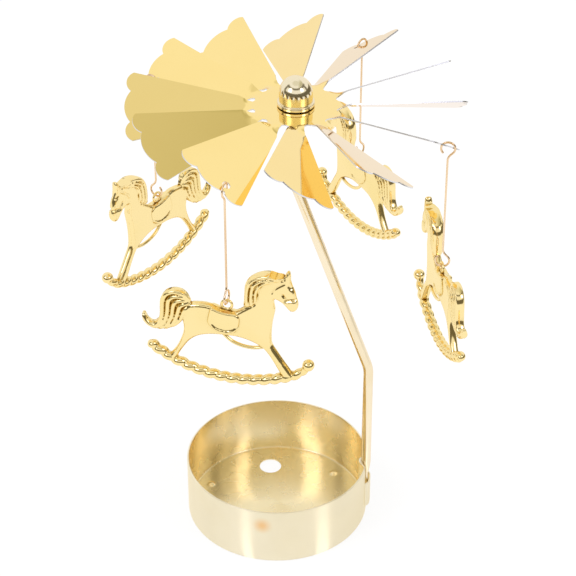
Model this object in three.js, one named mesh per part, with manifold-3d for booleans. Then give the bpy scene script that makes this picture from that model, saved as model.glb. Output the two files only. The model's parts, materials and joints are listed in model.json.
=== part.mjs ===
// Candle carousel: a tealight cup with a bent arm. A fan wheel turns on the point of the arm
// and carries four rocking horses on wire hangers.
// Millimetres, +Z up. The origin is the middle of the cup's underside and +X points to the arm.

import * as THREE from 'three';
import { mergeVertices } from 'three/addons/utils/BufferGeometryUtils.js';
import Module from 'manifold-3d';

const wasm = await Module();
wasm.setup();

// Fits that the whole object shares
const SEAT_GAP = 0.3; // between a piece and what carries it
const CUT_OVERRUN = 2; // how far a cutter runs past what it cuts
const WELD = 1e-5; // corners nearer than this are one corner

// Cup
const CUP_RADIUS = 30;
const CUP_HEIGHT = 20.8;
const CUP_WALL = 0.5;
const CUP_CORNER = 1.2; // outside radius between wall and floor
const CUP_SEGMENTS = 64;
const FLOOR_HOLE_RADIUS = 3.7;
const FLOOR_HOLE_REACH = 19.3; // from the cup's axis
const FLOOR_HOLE_ANGLE = 103.5;
const PIP_COUNT = 3;
const PIP_RADIUS = 2;
const PIP_RISE = 0.8;
const PIP_REACH = 24.5;
const PIP_FIRST_ANGLE = 44;
const PIP_SIDES = 10;

// Socket lanced in the cup's wall: pressed in above a slit, out below it
const SLIT_HEIGHT = 14; // middle of the slit, over the table
const STRAP_FOOT = 3.8; // lower edge of the window behind the strap
const STRAP_RISE = 1.25; // outwards
const STRAP_HALF_WIDTH = 3.8;
const GROOVE_DEPTH = 2.3; // inwards
const GROOVE_HALF_WIDTH = 4.3;

// Arm
const ROD_RADIUS = 1.6;
const ROD_SIDES = 14;
const TAIL_THICKNESS = 1;
const TAIL_WIDTH = 3.6;
const TAIL_SHOULDER = 17; // where the round rod has run out, over the table
const SHOULDER_LENGTH = 3.6; // from tail to full round rod
const SHOULDER_SHARES = [0.3, 0.65, 1]; // of its length, where the shoulder has a ring
const TAIL_SQUARENESS = 0.5; // 1 is an oval
const LOW_BEND_HEIGHT = 58.7;
const HIGH_BEND_HEIGHT = 125.5;
const BEND_RADIUS = 12;
const POINT_LENGTH = 4.5;
const POINT_RADIUS = 0.25;

// Rotor
const ROTOR_AXIS_X = 5.94; // from the cup's axis, towards the arm
const HUB_HEIGHT = 153; // middle of the fan wheel's sheet over the table

// Fan wheel
const SHEET = 0.4;
const BLADE_COUNT = 12;
const BLADE_PITCH = 32.8; // degrees that a blade is twisted at its neck
const FAN_PHASE = 6.8; // degrees from the arm to the first blade
const CORNER_REACH = 48;
const CORNER_HALF_WIDTH = 11.4;
const LOBE_JOIN_RISE = 0.8; // of the corners between the lobes over the outer corners
const LOBE_JOIN_HALF_WIDTH = 5.2;
const BIG_LOBE_RISE = 1.85;
const SMALL_LOBE_RISE = 1.75;
const SLOT_START = 12.4; // radius where the slots between the necks begin
const SLOT_END = 17;
const SLOT_HALF_WIDTH = 1.55;
// Neck beside a slot: share of the slot's length, of its half width, and of the blade's twist
const NECK_SHARES = [
  { along: 0.1, width: 0.7, twist: 0 },
  { along: 0.38, width: 1, twist: 0.4 },
  { along: 0.7, width: 0.92, twist: 0.85 },
  { along: 1, width: 0.68, twist: 1 },
];
const EYE_RADIUS = 1.25; // hole for a hanger
const EYE_STRIP = 1.85; // sheet between the hole and the blade's edge
const EYE_OFFSET = 4.2; // from the blade's middle line, towards its low edge

// Bearing cap, heights from the middle of the sheet
const CAP_RADIUS = 5;
const CAP_WALL = 0.45;
const CAP_SHOULDER = 4.5; // where the dome starts
const FLANGE_RADIUS = 5.6;
const FLANGE_HEIGHT = 1.2;
const SPIGOT_RADIUS = 4.2;
const LIP_RADIUS = 5;
const LIP_HEIGHT = 0.4;
const CAP_SEGMENTS = 22;

// Hangers
const WIRE_RADIUS = 0.325;
const WIRE_SIDES = 6;
const HOOK_RADIUS = 2.05; // middle line of the hook
const HOOK_DROP = 0.5; // from the blade's sheet to the middle of the upper hook
// A hook runs from the straight wire round to its open end, in degrees from straight outwards
const HOOK_START_ANGLE = -48;
const HOOK_END_ANGLE = 226;
const HOOK_STEPS = 9;
// Where the straight wire bends into the hook: shares of its radius, outwards and down
const HOOK_NECK_SHARES = [
  [0, 1.75],
  [0.17, 1.3],
];
const HANGER_SPAN = 38.4; // between the middles of the two hooks
const HANGER_SPAN_SHARES = [0.935, 1.008, 0.984, 1]; // each wire is bent by hand
const HANGER_COUNT = 4;
const FIRST_HANGER_BLADE = 8;
const BLADES_PER_HANGER = 3;
// Degrees that each horse has turned on its wire from the wheel's direction of travel
const HORSE_TURNS = [13.6, -14, -35.5, 36.5];
const HOOK_TURN_SHARE = 0.5; // of its horse's turn that a hanger has followed

// Rocking horses. Outlines are shares of the length, forwards and up from over the back.
const HORSE_LENGTH = 52;
const BACK_SHARE = 0.032; // down to the back where the ring sits
const HORSE_BACK = 0.6; // from the ring's middle to the flat back
const BODY_DEPTH = 1.5; // middle of the ring to the raised face
const MANE_DEPTH = 1.8;
const TAIL_DEPTH = 0.9;
const SADDLE_DEPTH = 2;
const EDGE_ROUNDING = 1.1;
const NARROWEST_SHARE = 0.35; // of the room at a corner that its rounding may take
const RING_HOLE_RADIUS = 1.15;
const RING_WIRE_RADIUS = 0.4;
const RING_SINK = 0.286; // of the ring's foot into the back
const RING_SEGMENTS = 12;
const RING_SIDES = 5;
const ROPE_RADIUS = 1.7;
const ROPE_RELIEF = 0.45; // height of the twist over the hollows
const ROPE_PITCH = 3.35;
const ROPE_ARC_RADIUS_SHARE = 0.7885;
const ROPE_ARC_MIDDLE_SHARES = [0.0577, 0.2865];
const ROPE_REAR_ANGLE = 229;
const ROPE_FRONT_ANGLE = 293.5;
const STEPS_PER_TURN = 3;
const ROPE_SIDES = 6;
const BALL_RADIUS = 1.8;
const BALL_MIDDLE_SHARES = [0.4635, -0.3519];
const GIRTH_RADIUS = 0.55;
const LOCK_RADIUS = 0.75; // half the width of a lock of hair at its root
const LOCK_SIDES = 3;

const TURN = 2 * Math.PI;
const bladeStep = 360 / BLADE_COUNT;
const UP = new THREE.Vector3(0, 0, 1);
const rad = THREE.MathUtils.degToRad;

const gold = (name, color, metalness, roughness) =>
  new THREE.MeshStandardMaterial({ name, color, metalness, roughness });
const finishes = {
  cup: gold('satin_gold', 0xe9d9a8, 1, 0.35),
  arm: gold('arm_gold', 0xe6d3a0, 1, 0.3),
  fan: gold('mirror_gold', 0xf4d98c, 1, 0.12),
  cap: gold('polished_gold', 0xe8d6a0, 1, 0.1),
  wire: gold('rose_gold_wire', 0xd9b48c, 1, 0.25),
  horse: gold('bright_gold', 0xf2d27a, 1, 0.18),
};

// A point at a radius and an angle in degrees round the Z axis
function polar(radius, degrees, height = 0) {
  return new THREE.Vector3(radius * Math.cos(rad(degrees)), radius * Math.sin(rad(degrees)), height);
}

// Makes the solid of a closed geometry, in its own place
function solidOf(geometry) {
  const bare = geometry.clone();
  bare.deleteAttribute('normal');
  bare.deleteAttribute('uv');
  const merged = mergeVertices(bare, WELD);
  const mesh = new wasm.Mesh({
    numProp: 3,
    vertProperties: new Float32Array(merged.attributes.position.array),
    triVerts: new Uint32Array(merged.index.array),
  });
  return new wasm.Manifold(mesh);
}

function geometryOf(solid) {
  const mesh = solid.getMesh();
  const geometry = new THREE.BufferGeometry();
  geometry.setAttribute('position', new THREE.BufferAttribute(new Float32Array(mesh.vertProperties), 3));
  geometry.setIndex(new THREE.BufferAttribute(new Uint32Array(mesh.triVerts), 1));
  geometry.computeVertexNormals();
  return geometry;
}

function joined(solids) {
  return solids.reduce((whole, solid) => whole.add(solid));
}

// Triangles that close a convex ring
function fanLid(sides) {
  return Array.from({ length: sides - 2 }, (_, side) => [0, side + 1, side + 2]);
}

// Skins a row of rings that all have the same number of points, and closes both ends.
// Each ring runs counter-clockwise as seen from the far end of the row.
function ringSkin(rings, lid = fanLid(rings[0].length)) {
  const sides = rings[0].length;
  const points = rings.flat();
  const faces = [];
  for (let row = 0; row + 1 < rings.length; row += 1) {
    for (let side = 0; side < sides; side += 1) {
      const next = (side + 1) % sides;
      const a = row * sides + side;
      const b = row * sides + next;
      faces.push(a, b, b + sides, a, b + sides, a + sides);
    }
  }
  const last = (rings.length - 1) * sides;
  for (const [a, b, c] of lid) {
    faces.push(c, b, a);
    faces.push(last + a, last + b, last + c);
  }
  const geometry = new THREE.BufferGeometry();
  geometry.setFromPoints(points);
  geometry.setIndex(faces);
  return geometry;
}

// Rings of points round a path that lies in a plane with the given normal.
// radiusAt gives the radius from the way along the path, the angle round it and the whole way.
function planarSweep(path, normal, sides, radiusAt) {
  const lengths = [0];
  for (let step = 1; step < path.length; step += 1) {
    lengths.push(lengths[step - 1] + path[step].distanceTo(path[step - 1]));
  }
  const total = lengths[lengths.length - 1];
  const rings = path.map((point, step) => {
    const before = path[Math.max(step - 1, 0)];
    const after = path[Math.min(step + 1, path.length - 1)];
    const along = after.clone().sub(before).normalize();
    const across = new THREE.Vector3().crossVectors(normal, along);
    const ring = [];
    for (let side = 0; side < sides; side += 1) {
      const angle = TURN * (side / sides + 1 / 4);
      const radius = radiusAt(lengths[step], angle, total);
      ring.push(
        point
          .clone()
          .addScaledVector(across, radius * Math.cos(angle))
          .addScaledVector(normal, radius * Math.sin(angle)),
      );
    }
    return ring;
  });
  return ringSkin(rings);
}

// Cup

// How much nearer to the axis the faceted wall lies at an angle, as a share of its radius
function facetShare(angle) {
  const half = Math.PI / CUP_SEGMENTS;
  const fromCorner = angle - 2 * half * Math.floor(angle / (2 * half));
  return Math.cos(half) / Math.cos(fromCorner - half);
}

// A band of the wall between two heights, moved outwards by a swell over its middle
function wallBand(low, high, rise, halfWidth, swell) {
  const pressed = halfWidth / CUP_RADIUS;
  const lap = CUP_WALL / CUP_RADIUS;
  const steps = 12;
  const angles = [-pressed - lap];
  for (let step = 0; step <= steps; step += 1) {
    angles.push(pressed * ((2 * step) / steps - 1));
  }
  angles.push(pressed + lap);
  const edge = (wall) =>
    angles.map((angle) => {
      const lifted = rise * swell(Math.min(Math.abs(angle / pressed), 1));
      const radius = (CUP_RADIUS - wall + lifted) * facetShare(angle);
      return new THREE.Vector2(radius * Math.cos(angle), radius * Math.sin(angle));
    });
  const outline = new THREE.Shape([...edge(0), ...edge(CUP_WALL).reverse()]);
  const band = new THREE.ExtrudeGeometry(outline, { depth: high - low, bevelEnabled: false });
  band.translate(0, 0, low);
  return solidOf(band);
}

// A cutter for the arm's side of the wall, as wide as the pressed band
function wallWindow(low, high, halfWidth) {
  const block = new THREE.BoxGeometry(2 * CUT_OVERRUN + CUP_WALL, 2 * halfWidth, high - low);
  block.translate(CUP_RADIUS, 0, (low + high) / 2);
  return solidOf(block);
}

// The round body of a pressed pip: its dome starts at a height, over a straight foot
function pipSolid(place, height, foot) {
  const sphereRadius = arcRadius(PIP_RADIUS, PIP_RISE);
  const rimAngle = Math.asin(PIP_RADIUS / sphereRadius);
  const profile = [new THREE.Vector2(0, -foot), new THREE.Vector2(PIP_RADIUS, -foot)];
  const steps = 3;
  for (let step = 0; step <= steps; step += 1) {
    const angle = rimAngle * (1 - step / steps);
    const rise = sphereRadius * (Math.cos(angle) - Math.cos(rimAngle));
    profile.push(new THREE.Vector2(sphereRadius * Math.sin(angle), rise));
  }
  const dome = new THREE.LatheGeometry(profile, PIP_SIDES);
  dome.rotateX(Math.PI / 2);
  dome.translate(place.x, place.y, height);
  return solidOf(dome);
}

function cupGeometry() {
  const corner = (radius, share) =>
    new THREE.Vector2(
      CUP_RADIUS - CUP_CORNER + radius * Math.sin(share),
      CUP_CORNER - radius * Math.cos(share),
    );
  const bends = [0, 1 / 2, 1].map((share) => (share * Math.PI) / 2);
  const profile = [
    new THREE.Vector2(0, 0),
    ...bends.map((bend) => corner(CUP_CORNER, bend)),
    new THREE.Vector2(CUP_RADIUS, CUP_HEIGHT),
    new THREE.Vector2(CUP_RADIUS - CUP_WALL, CUP_HEIGHT),
    ...bends.map((bend) => corner(CUP_CORNER - CUP_WALL, bend)).reverse(),
    new THREE.Vector2(0, CUP_WALL),
  ];
  const shell = new THREE.LatheGeometry(profile, CUP_SEGMENTS);
  shell.rotateX(Math.PI / 2);

  const hole = new THREE.CylinderGeometry(FLOOR_HOLE_RADIUS, FLOOR_HOLE_RADIUS, 2 * CUT_OVERRUN, 24);
  hole.rotateX(Math.PI / 2);
  const holePlace = polar(FLOOR_HOLE_REACH, FLOOR_HOLE_ANGLE);
  hole.translate(holePlace.x, holePlace.y, 0);

  const slitTop = SLIT_HEIGHT + SEAT_GAP / 2;
  const slitFoot = SLIT_HEIGHT - SEAT_GAP / 2;
  const grooveSwell = (share) => (1 + Math.cos(Math.PI * share)) / 2;
  const strapSwell = (share) => 1 - share ** 4;
  let cup = solidOf(shell)
    .subtract(solidOf(hole))
    .subtract(wallWindow(STRAP_FOOT, slitTop, STRAP_HALF_WIDTH))
    .subtract(wallWindow(slitFoot, CUP_HEIGHT + CUT_OVERRUN, GROOVE_HALF_WIDTH))
    .add(wallBand(STRAP_FOOT + SEAT_GAP, slitFoot, STRAP_RISE, STRAP_HALF_WIDTH, strapSwell))
    .add(wallBand(slitTop, CUP_HEIGHT, -GROOVE_DEPTH, GROOVE_HALF_WIDTH, grooveSwell));

  for (let index = 0; index < PIP_COUNT; index += 1) {
    const place = polar(PIP_REACH, PIP_FIRST_ANGLE + (360 / PIP_COUNT) * index);
    cup = cup.add(pipSolid(place, CUP_WALL, CUP_WALL / 2)).subtract(pipSolid(place, 0, CUT_OVERRUN));
  }
  return geometryOf(cup);
}

// Arm

// The upright rod lies in the groove of the socket
const rodReach = CUP_RADIUS - GROOVE_DEPTH + SEAT_GAP + ROD_RADIUS;

// Middle line of the rod from the shoulder to the point, in the plane of the arm
function rodLine(tipHeight) {
  const foot = new THREE.Vector2(rodReach, TAIL_SHOULDER + SHOULDER_LENGTH);
  const low = new THREE.Vector2(rodReach, LOW_BEND_HEIGHT);
  const high = new THREE.Vector2(ROTOR_AXIS_X, HIGH_BEND_HEIGHT);
  const tip = new THREE.Vector2(ROTOR_AXIS_X, tipHeight);
  const lean = Math.atan2(low.x - high.x, high.y - low.y);
  const setBack = BEND_RADIUS * Math.tan(lean / 2);
  const line = [foot];
  const steps = 4;
  for (const [corner, side] of [
    [low, -1],
    [high, 1],
  ]) {
    const start = side < 0 ? 0 : lean;
    const into = new THREE.Vector2(-Math.sin(start), Math.cos(start));
    const begin = corner.clone().addScaledVector(into, -setBack);
    const middle = begin.clone().add(
      new THREE.Vector2(side * BEND_RADIUS * Math.cos(start), side * BEND_RADIUS * Math.sin(start)),
    );
    for (let step = 0; step <= steps; step += 1) {
      const angle = start - side * lean * (step / steps);
      line.push(
        new THREE.Vector2(
          middle.x - side * BEND_RADIUS * Math.cos(angle),
          middle.y - side * BEND_RADIUS * Math.sin(angle),
        ),
      );
    }
  }
  line.push(tip);
  return line;
}

// One ring of the rod: an oval with its own reach, half thickness, half width and slope
function rodRing(reach, height, halfThickness, halfWidth, lean, squareness) {
  const ring = [];
  for (let side = 0; side < ROD_SIDES; side += 1) {
    const angle = (TURN * side) / ROD_SIDES;
    const rounded = (value) => Math.sign(value) * Math.abs(value) ** squareness;
    const across = halfThickness * rounded(Math.cos(angle));
    ring.push(
      new THREE.Vector3(
        reach + across * Math.cos(lean),
        halfWidth * rounded(Math.sin(angle)),
        height + across * Math.sin(lean),
      ),
    );
  }
  return ring;
}

function armGeometry() {
  const strapInside = CUP_RADIUS + STRAP_RISE - CUP_WALL;
  const tailReach = strapInside - SEAT_GAP - TAIL_THICKNESS / 2;
  const tailFoot = STRAP_FOOT + SEAT_GAP;
  const tailTop = TAIL_SHOULDER;
  const tailRing = (height, shrink) =>
    rodRing(tailReach, height, TAIL_THICKNESS / 2, TAIL_WIDTH / 2 - shrink, 0, TAIL_SQUARENESS);
  const rings = [tailRing(tailFoot, TAIL_THICKNESS / 2), tailRing(tailFoot + TAIL_THICKNESS / 2, 0)];
  rings.push(tailRing(tailTop, 0));

  // The outer side swells first, so the shoulder slopes up towards the cup
  const { lerp } = THREE.MathUtils;
  for (const share of SHOULDER_SHARES) {
    const outer = lerp(tailReach + TAIL_THICKNESS / 2, rodReach + ROD_RADIUS, Math.sqrt(share));
    const inner = lerp(tailReach - TAIL_THICKNESS / 2, rodReach - ROD_RADIUS, share ** 2);
    const halfWidth = lerp(TAIL_WIDTH / 2, ROD_RADIUS, share);
    const squareness = lerp(TAIL_SQUARENESS, 1, share);
    const height = TAIL_SHOULDER + SHOULDER_LENGTH * share;
    rings.push(rodRing((outer + inner) / 2, height, (outer - inner) / 2, halfWidth, 0, squareness));
  }

  const capInside = HUB_HEIGHT + CAP_SHOULDER + CAP_RADIUS - CAP_WALL;
  const line = rodLine(capInside - SEAT_GAP);
  for (let step = 1; step + 1 < line.length; step += 1) {
    const along = line[step + 1].clone().sub(line[step - 1]);
    const lean = Math.atan2(-along.x, along.y);
    rings.push(rodRing(line[step].x, line[step].y, ROD_RADIUS, ROD_RADIUS, lean, 1));
  }
  const tip = line[line.length - 1];
  rings.push(rodRing(tip.x, tip.y - POINT_LENGTH, ROD_RADIUS, ROD_RADIUS, 0, 1));
  rings.push(rodRing(tip.x, tip.y - POINT_RADIUS, POINT_RADIUS, POINT_RADIUS, 0, 1));
  rings.push(rodRing(tip.x, tip.y, POINT_RADIUS / 2, POINT_RADIUS / 2, 0, 1));
  return ringSkin(rings);
}

// Fan wheel

const lobeJoinReach = CORNER_REACH + LOBE_JOIN_RISE;

// Radius of the arc that rises by so much over a chord
function arcRadius(halfChord, rise) {
  return (halfChord ** 2 + rise ** 2) / (2 * rise);
}

// Middle of a hanger's hole, along and across its blade: in from the edge of the big lobe
function eyePlace() {
  const radius = arcRadius(LOBE_JOIN_HALF_WIDTH, BIG_LOBE_RISE);
  const lobeMiddle = lobeJoinReach + BIG_LOBE_RISE - radius;
  const edge = lobeMiddle + Math.sqrt(radius ** 2 - EYE_OFFSET ** 2);
  return new THREE.Vector2(edge - EYE_STRIP - EYE_RADIUS, EYE_OFFSET);
}

// Points of a round lobe from one corner to the next, without the last one
function lobe(from, to, rise, steps) {
  const chord = to.clone().sub(from);
  const half = chord.length() / 2;
  const radius = arcRadius(half, rise);
  const outwards = new THREE.Vector2(chord.y, -chord.x).normalize();
  const middle = from.clone().add(to).multiplyScalar(1 / 2).addScaledVector(outwards, rise - radius);
  const sweep = 2 * Math.asin(half / radius);
  const points = [];
  for (let step = 0; step < steps; step += 1) {
    const arm = outwards.clone().rotateAround(new THREE.Vector2(), sweep * (step / steps - 1 / 2));
    points.push(middle.clone().addScaledVector(arm, radius));
  }
  return points;
}

// Tip of a blade from its raised corner to its lowered one: along the blade, across it
function bladeTip() {
  const corners = [
    new THREE.Vector2(CORNER_REACH, -CORNER_HALF_WIDTH),
    new THREE.Vector2(lobeJoinReach, -LOBE_JOIN_HALF_WIDTH),
    new THREE.Vector2(lobeJoinReach, LOBE_JOIN_HALF_WIDTH),
    new THREE.Vector2(CORNER_REACH, CORNER_HALF_WIDTH),
  ];
  return [
    ...lobe(corners[0], corners[1], SMALL_LOBE_RISE, 6),
    ...lobe(corners[1], corners[2], BIG_LOBE_RISE, 8),
    ...lobe(corners[2], corners[3], SMALL_LOBE_RISE, 6),
    corners[3],
  ];
}

// Where the neck's edge lies, along and across the blade
function neckEdge({ along, width }) {
  const halfSector = Math.PI / BLADE_COUNT;
  const radius = THREE.MathUtils.lerp(SLOT_START, SLOT_END, along);
  return new THREE.Vector2(
    radius * Math.cos(halfSector) + SLOT_HALF_WIDTH * width * Math.sin(halfSector),
    radius * Math.sin(halfSector) - SLOT_HALF_WIDTH * width * Math.cos(halfSector),
  );
}

// The wheel's sheet as one set of shared points, each with its own face direction
function fanGeometry() {
  const middles = [];
  const normals = [];
  const faces = [];

  // A point of a blade, along and across it, with the twist that the sheet has there
  const place = (blade, along, across, twistShare) => {
    const heading = rad(FAN_PHASE + bladeStep * blade);
    const out = new THREE.Vector3(Math.cos(heading), Math.sin(heading), 0);
    const round = new THREE.Vector3(-Math.sin(heading), Math.cos(heading), 0);
    const twist = rad(BLADE_PITCH) * twistShare;
    middles.push(
      new THREE.Vector3(ROTOR_AXIS_X, 0, HUB_HEIGHT)
        .addScaledVector(out, along)
        .addScaledVector(round, across * Math.cos(twist))
        .addScaledVector(UP, -across * Math.sin(twist)),
    );
    normals.push(UP.clone().multiplyScalar(Math.cos(twist)).addScaledVector(round, Math.sin(twist)));
    return middles.length - 1;
  };
  // Fills an outline, counter-clockwise in the plane of flat, with its holes
  const fill = (outline, holes) => {
    const flat = (index) => index.flat;
    const inner = holes.map((hole) => hole.map(flat));
    const cells = THREE.ShapeUtils.triangulateShape(outline.map(flat), inner);
    const all = [...outline, ...holes.flat()];
    for (const cell of cells) {
      faces.push(cell.map((corner) => all[corner].index));
    }
  };

  const tip = bladeTip();
  const eyeMiddle = eyePlace();
  const eyeSteps = 12;
  const hubRim = [];
  for (let blade = 0; blade < BLADE_COUNT; blade += 1) {
    const sector = bladeStep * blade;
    const hubPoint = (index, along, across) => {
      const flat = new THREE.Vector2(along, across).rotateAround(new THREE.Vector2(), rad(sector));
      return { index, flat };
    };
    const slotAlong = SLOT_START * Math.cos(Math.PI / BLADE_COUNT);
    const slotAcross = SLOT_START * Math.sin(Math.PI / BLADE_COUNT);
    hubRim.push(hubPoint(place(blade, slotAlong, -slotAcross, 0), slotAlong, -slotAcross));

    const rows = NECK_SHARES.map((shares) => {
      const edge = neckEdge(shares);
      const row = [new THREE.Vector2(edge.x, -edge.y), new THREE.Vector2(edge.length(), 0), edge];
      return row.map((flat) => ({ index: place(blade, flat.x, flat.y, shares.twist), flat }));
    });
    hubRim.push(...rows[0].map(({ index, flat }) => hubPoint(index, flat.x, flat.y)));
    for (let row = 0; row + 1 < rows.length; row += 1) {
      for (let column = 0; column + 1 < rows[row].length; column += 1) {
        const [a, b] = [rows[row][column].index, rows[row + 1][column].index];
        const [c, d] = [rows[row + 1][column + 1].index, rows[row][column + 1].index];
        faces.push([a, b, c], [a, c, d]);
      }
    }

    const root = rows[rows.length - 1];
    const tipPoints = tip.map((point) => ({ index: place(blade, point.x, point.y, 1), flat: point }));
    const holes = [];
    if ((blade - FIRST_HANGER_BLADE + BLADE_COUNT) % BLADES_PER_HANGER === 0) {
      const eye = [];
      for (let step = 0; step < eyeSteps; step += 1) {
        const turn = (TURN * step) / eyeSteps;
        const arm = new THREE.Vector2(Math.cos(turn), Math.sin(turn));
        const point = eyeMiddle.clone().addScaledVector(arm, EYE_RADIUS);
        eye.push({ index: place(blade, point.x, point.y, 1), flat: point });
      }
      holes.push(eye);
    }
    fill([...tipPoints, ...root.slice().reverse()], holes);
  }

  const bore = [];
  const boreSteps = 24;
  const boreRadius = SPIGOT_RADIUS + SEAT_GAP;
  for (let step = 0; step < boreSteps; step += 1) {
    const around = polar(boreRadius, (360 / boreSteps) * step);
    const flat = new THREE.Vector2(around.x, around.y);
    bore.push({ index: place(0, flat.x, flat.y, 0), flat });
  }
  fill(hubRim, [bore]);
  return thickened(middles, normals, faces, SHEET);
}

// Gives a sheet its thickness: both faces and a wall along every open edge
function thickened(middles, normals, faces, thickness) {
  const count = middles.length;
  const top = middles.map((point, index) => point.clone().addScaledVector(normals[index], thickness / 2));
  const under = middles.map((point, index) => point.clone().addScaledVector(normals[index], -thickness / 2));
  const triangles = [];
  const edges = new Map();
  for (const [a, b, c] of faces) {
    triangles.push(a, b, c, c + count, b + count, a + count);
    for (const [from, to] of [[a, b], [b, c], [c, a]]) {
      if (!edges.delete(`${to},${from}`)) {
        edges.set(`${from},${to}`, [from, to]);
      }
    }
  }
  for (const [from, to] of edges.values()) {
    triangles.push(to, from, from + count, to, from + count, to + count);
  }
  const geometry = new THREE.BufferGeometry();
  geometry.setFromPoints([...top, ...under]);
  geometry.setIndex(triangles);
  return geometry;
}

// Bearing cap
function capGeometry() {
  const sheetTop = SHEET / 2 + SEAT_GAP;
  const inside = CAP_RADIUS - CAP_WALL;
  const domeSteps = 4;
  const dome = (radius) =>
    Array.from({ length: domeSteps }, (_, step) => {
      const angle = (Math.PI / 2) * (step / domeSteps);
      return new THREE.Vector2(radius * Math.cos(angle), CAP_SHOULDER + radius * Math.sin(angle));
    });
  const flangeTop = sheetTop + FLANGE_HEIGHT;
  const profile = [
    new THREE.Vector2(0, CAP_SHOULDER + inside),
    ...dome(inside).reverse(),
    new THREE.Vector2(inside, flangeTop),
    new THREE.Vector2(SPIGOT_RADIUS - CAP_WALL, sheetTop + CAP_WALL),
    new THREE.Vector2(SPIGOT_RADIUS - CAP_WALL, -sheetTop - LIP_HEIGHT),
    new THREE.Vector2(LIP_RADIUS, -sheetTop - LIP_HEIGHT),
    new THREE.Vector2(LIP_RADIUS, -sheetTop),
    new THREE.Vector2(SPIGOT_RADIUS, -sheetTop),
    new THREE.Vector2(SPIGOT_RADIUS, sheetTop),
    new THREE.Vector2(FLANGE_RADIUS, sheetTop),
    new THREE.Vector2(FLANGE_RADIUS, flangeTop - CAP_WALL),
    new THREE.Vector2(CAP_RADIUS, flangeTop),
    ...dome(CAP_RADIUS),
    new THREE.Vector2(0, CAP_SHOULDER + CAP_RADIUS),
  ];
  const cap = new THREE.LatheGeometry(profile, CAP_SEGMENTS);
  cap.rotateX(Math.PI / 2);
  cap.translate(ROTOR_AXIS_X, 0, HUB_HEIGHT);
  return cap;
}

// Hangers

// How many times a direction fits between a point of a blade and its scalloped edge
function reachToTip(from, direction) {
  const side = new THREE.Vector2(-direction.y, direction.x);
  const tip = bladeTip().map((point) => point.sub(from));
  const crossed = tip.findIndex((point) => point.dot(side) > 0);
  const [before, after] = [tip[crossed - 1], tip[crossed]];
  const share = before.dot(side) / (before.dot(side) - after.dot(side));
  return before.lerp(after, share).dot(direction) / direction.lengthSq();
}

// Direction that a wire or a horse faces when it has turned from the wheel's direction of travel
function facing(index, turned) {
  const blade = rad(FAN_PHASE + bladeStep * (FIRST_HANGER_BLADE - BLADES_PER_HANGER * index));
  const eye = eyePlace();
  const eyeAngle = Math.atan2(eye.y * Math.cos(rad(BLADE_PITCH)), eye.x);
  const travel = blade + eyeAngle + Math.PI / 2 + rad(turned);
  const forward = new THREE.Vector3(Math.cos(travel), Math.sin(travel), 0);
  return { blade, forward, outward: new THREE.Vector3().crossVectors(forward, UP) };
}

// Where a hanger holds on: a point over the middle of its upper hook, which goes round the strip of
// sheet between the hole and the blade's scalloped edge and just clears the edge
function hangerSeat(index) {
  const { blade, forward, outward } = facing(index, HORSE_TURNS[index] * HOOK_TURN_SHARE);
  const pitch = rad(BLADE_PITCH);
  const along = new THREE.Vector3(Math.cos(blade), Math.sin(blade), 0);
  const round = new THREE.Vector3(-Math.sin(blade), Math.cos(blade), 0);
  const across = round.clone().multiplyScalar(Math.cos(pitch)).addScaledVector(UP, -Math.sin(pitch));
  const eye = eyePlace();
  const flat = new THREE.Vector2(outward.dot(along), outward.dot(round) / Math.cos(pitch));
  const inside = HOOK_RADIUS - WIRE_RADIUS;
  const hookRoom = Math.sqrt(inside ** 2 - (HOOK_DROP + SHEET / 2) ** 2);
  eye.addScaledVector(flat, reachToTip(eye, flat) + SEAT_GAP - hookRoom);
  const seat = new THREE.Vector3(ROTOR_AXIS_X, 0, HUB_HEIGHT)
    .addScaledVector(along, eye.x)
    .addScaledVector(across, eye.y);
  return { seat, forward, outward };
}

// One hook in the wire's plane: outwards and up from its middle
function hookLine(turnedOver) {
  const points = HOOK_NECK_SHARES.map(
    ([outwards, down]) => new THREE.Vector2(outwards, -down).multiplyScalar(HOOK_RADIUS),
  );
  for (let step = 0; step <= HOOK_STEPS; step += 1) {
    const angle = rad(THREE.MathUtils.lerp(HOOK_START_ANGLE, HOOK_END_ANGLE, step / HOOK_STEPS));
    points.push(new THREE.Vector2(HOOK_RADIUS * Math.cos(angle), HOOK_RADIUS * Math.sin(angle)));
  }
  return turnedOver ? points.map((point) => new THREE.Vector2(point.x, -point.y)) : points;
}

function hangerSpan(index) {
  return HANGER_SPAN * HANGER_SPAN_SHARES[index];
}

function hangerGeometry(index) {
  const { seat, forward, outward } = hangerSeat(index);
  const place = (point, lift) =>
    seat.clone().addScaledVector(outward, point.x).addScaledVector(UP, point.y + lift);
  const upper = hookLine(false).map((point) => place(point, -HOOK_DROP));
  const lower = hookLine(true).map((point) => place(point, -HOOK_DROP - hangerSpan(index)));
  return planarSweep([...upper.reverse(), ...lower], forward, WIRE_SIDES, () => WIRE_RADIUS);
}

// Rocking horses

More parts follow.
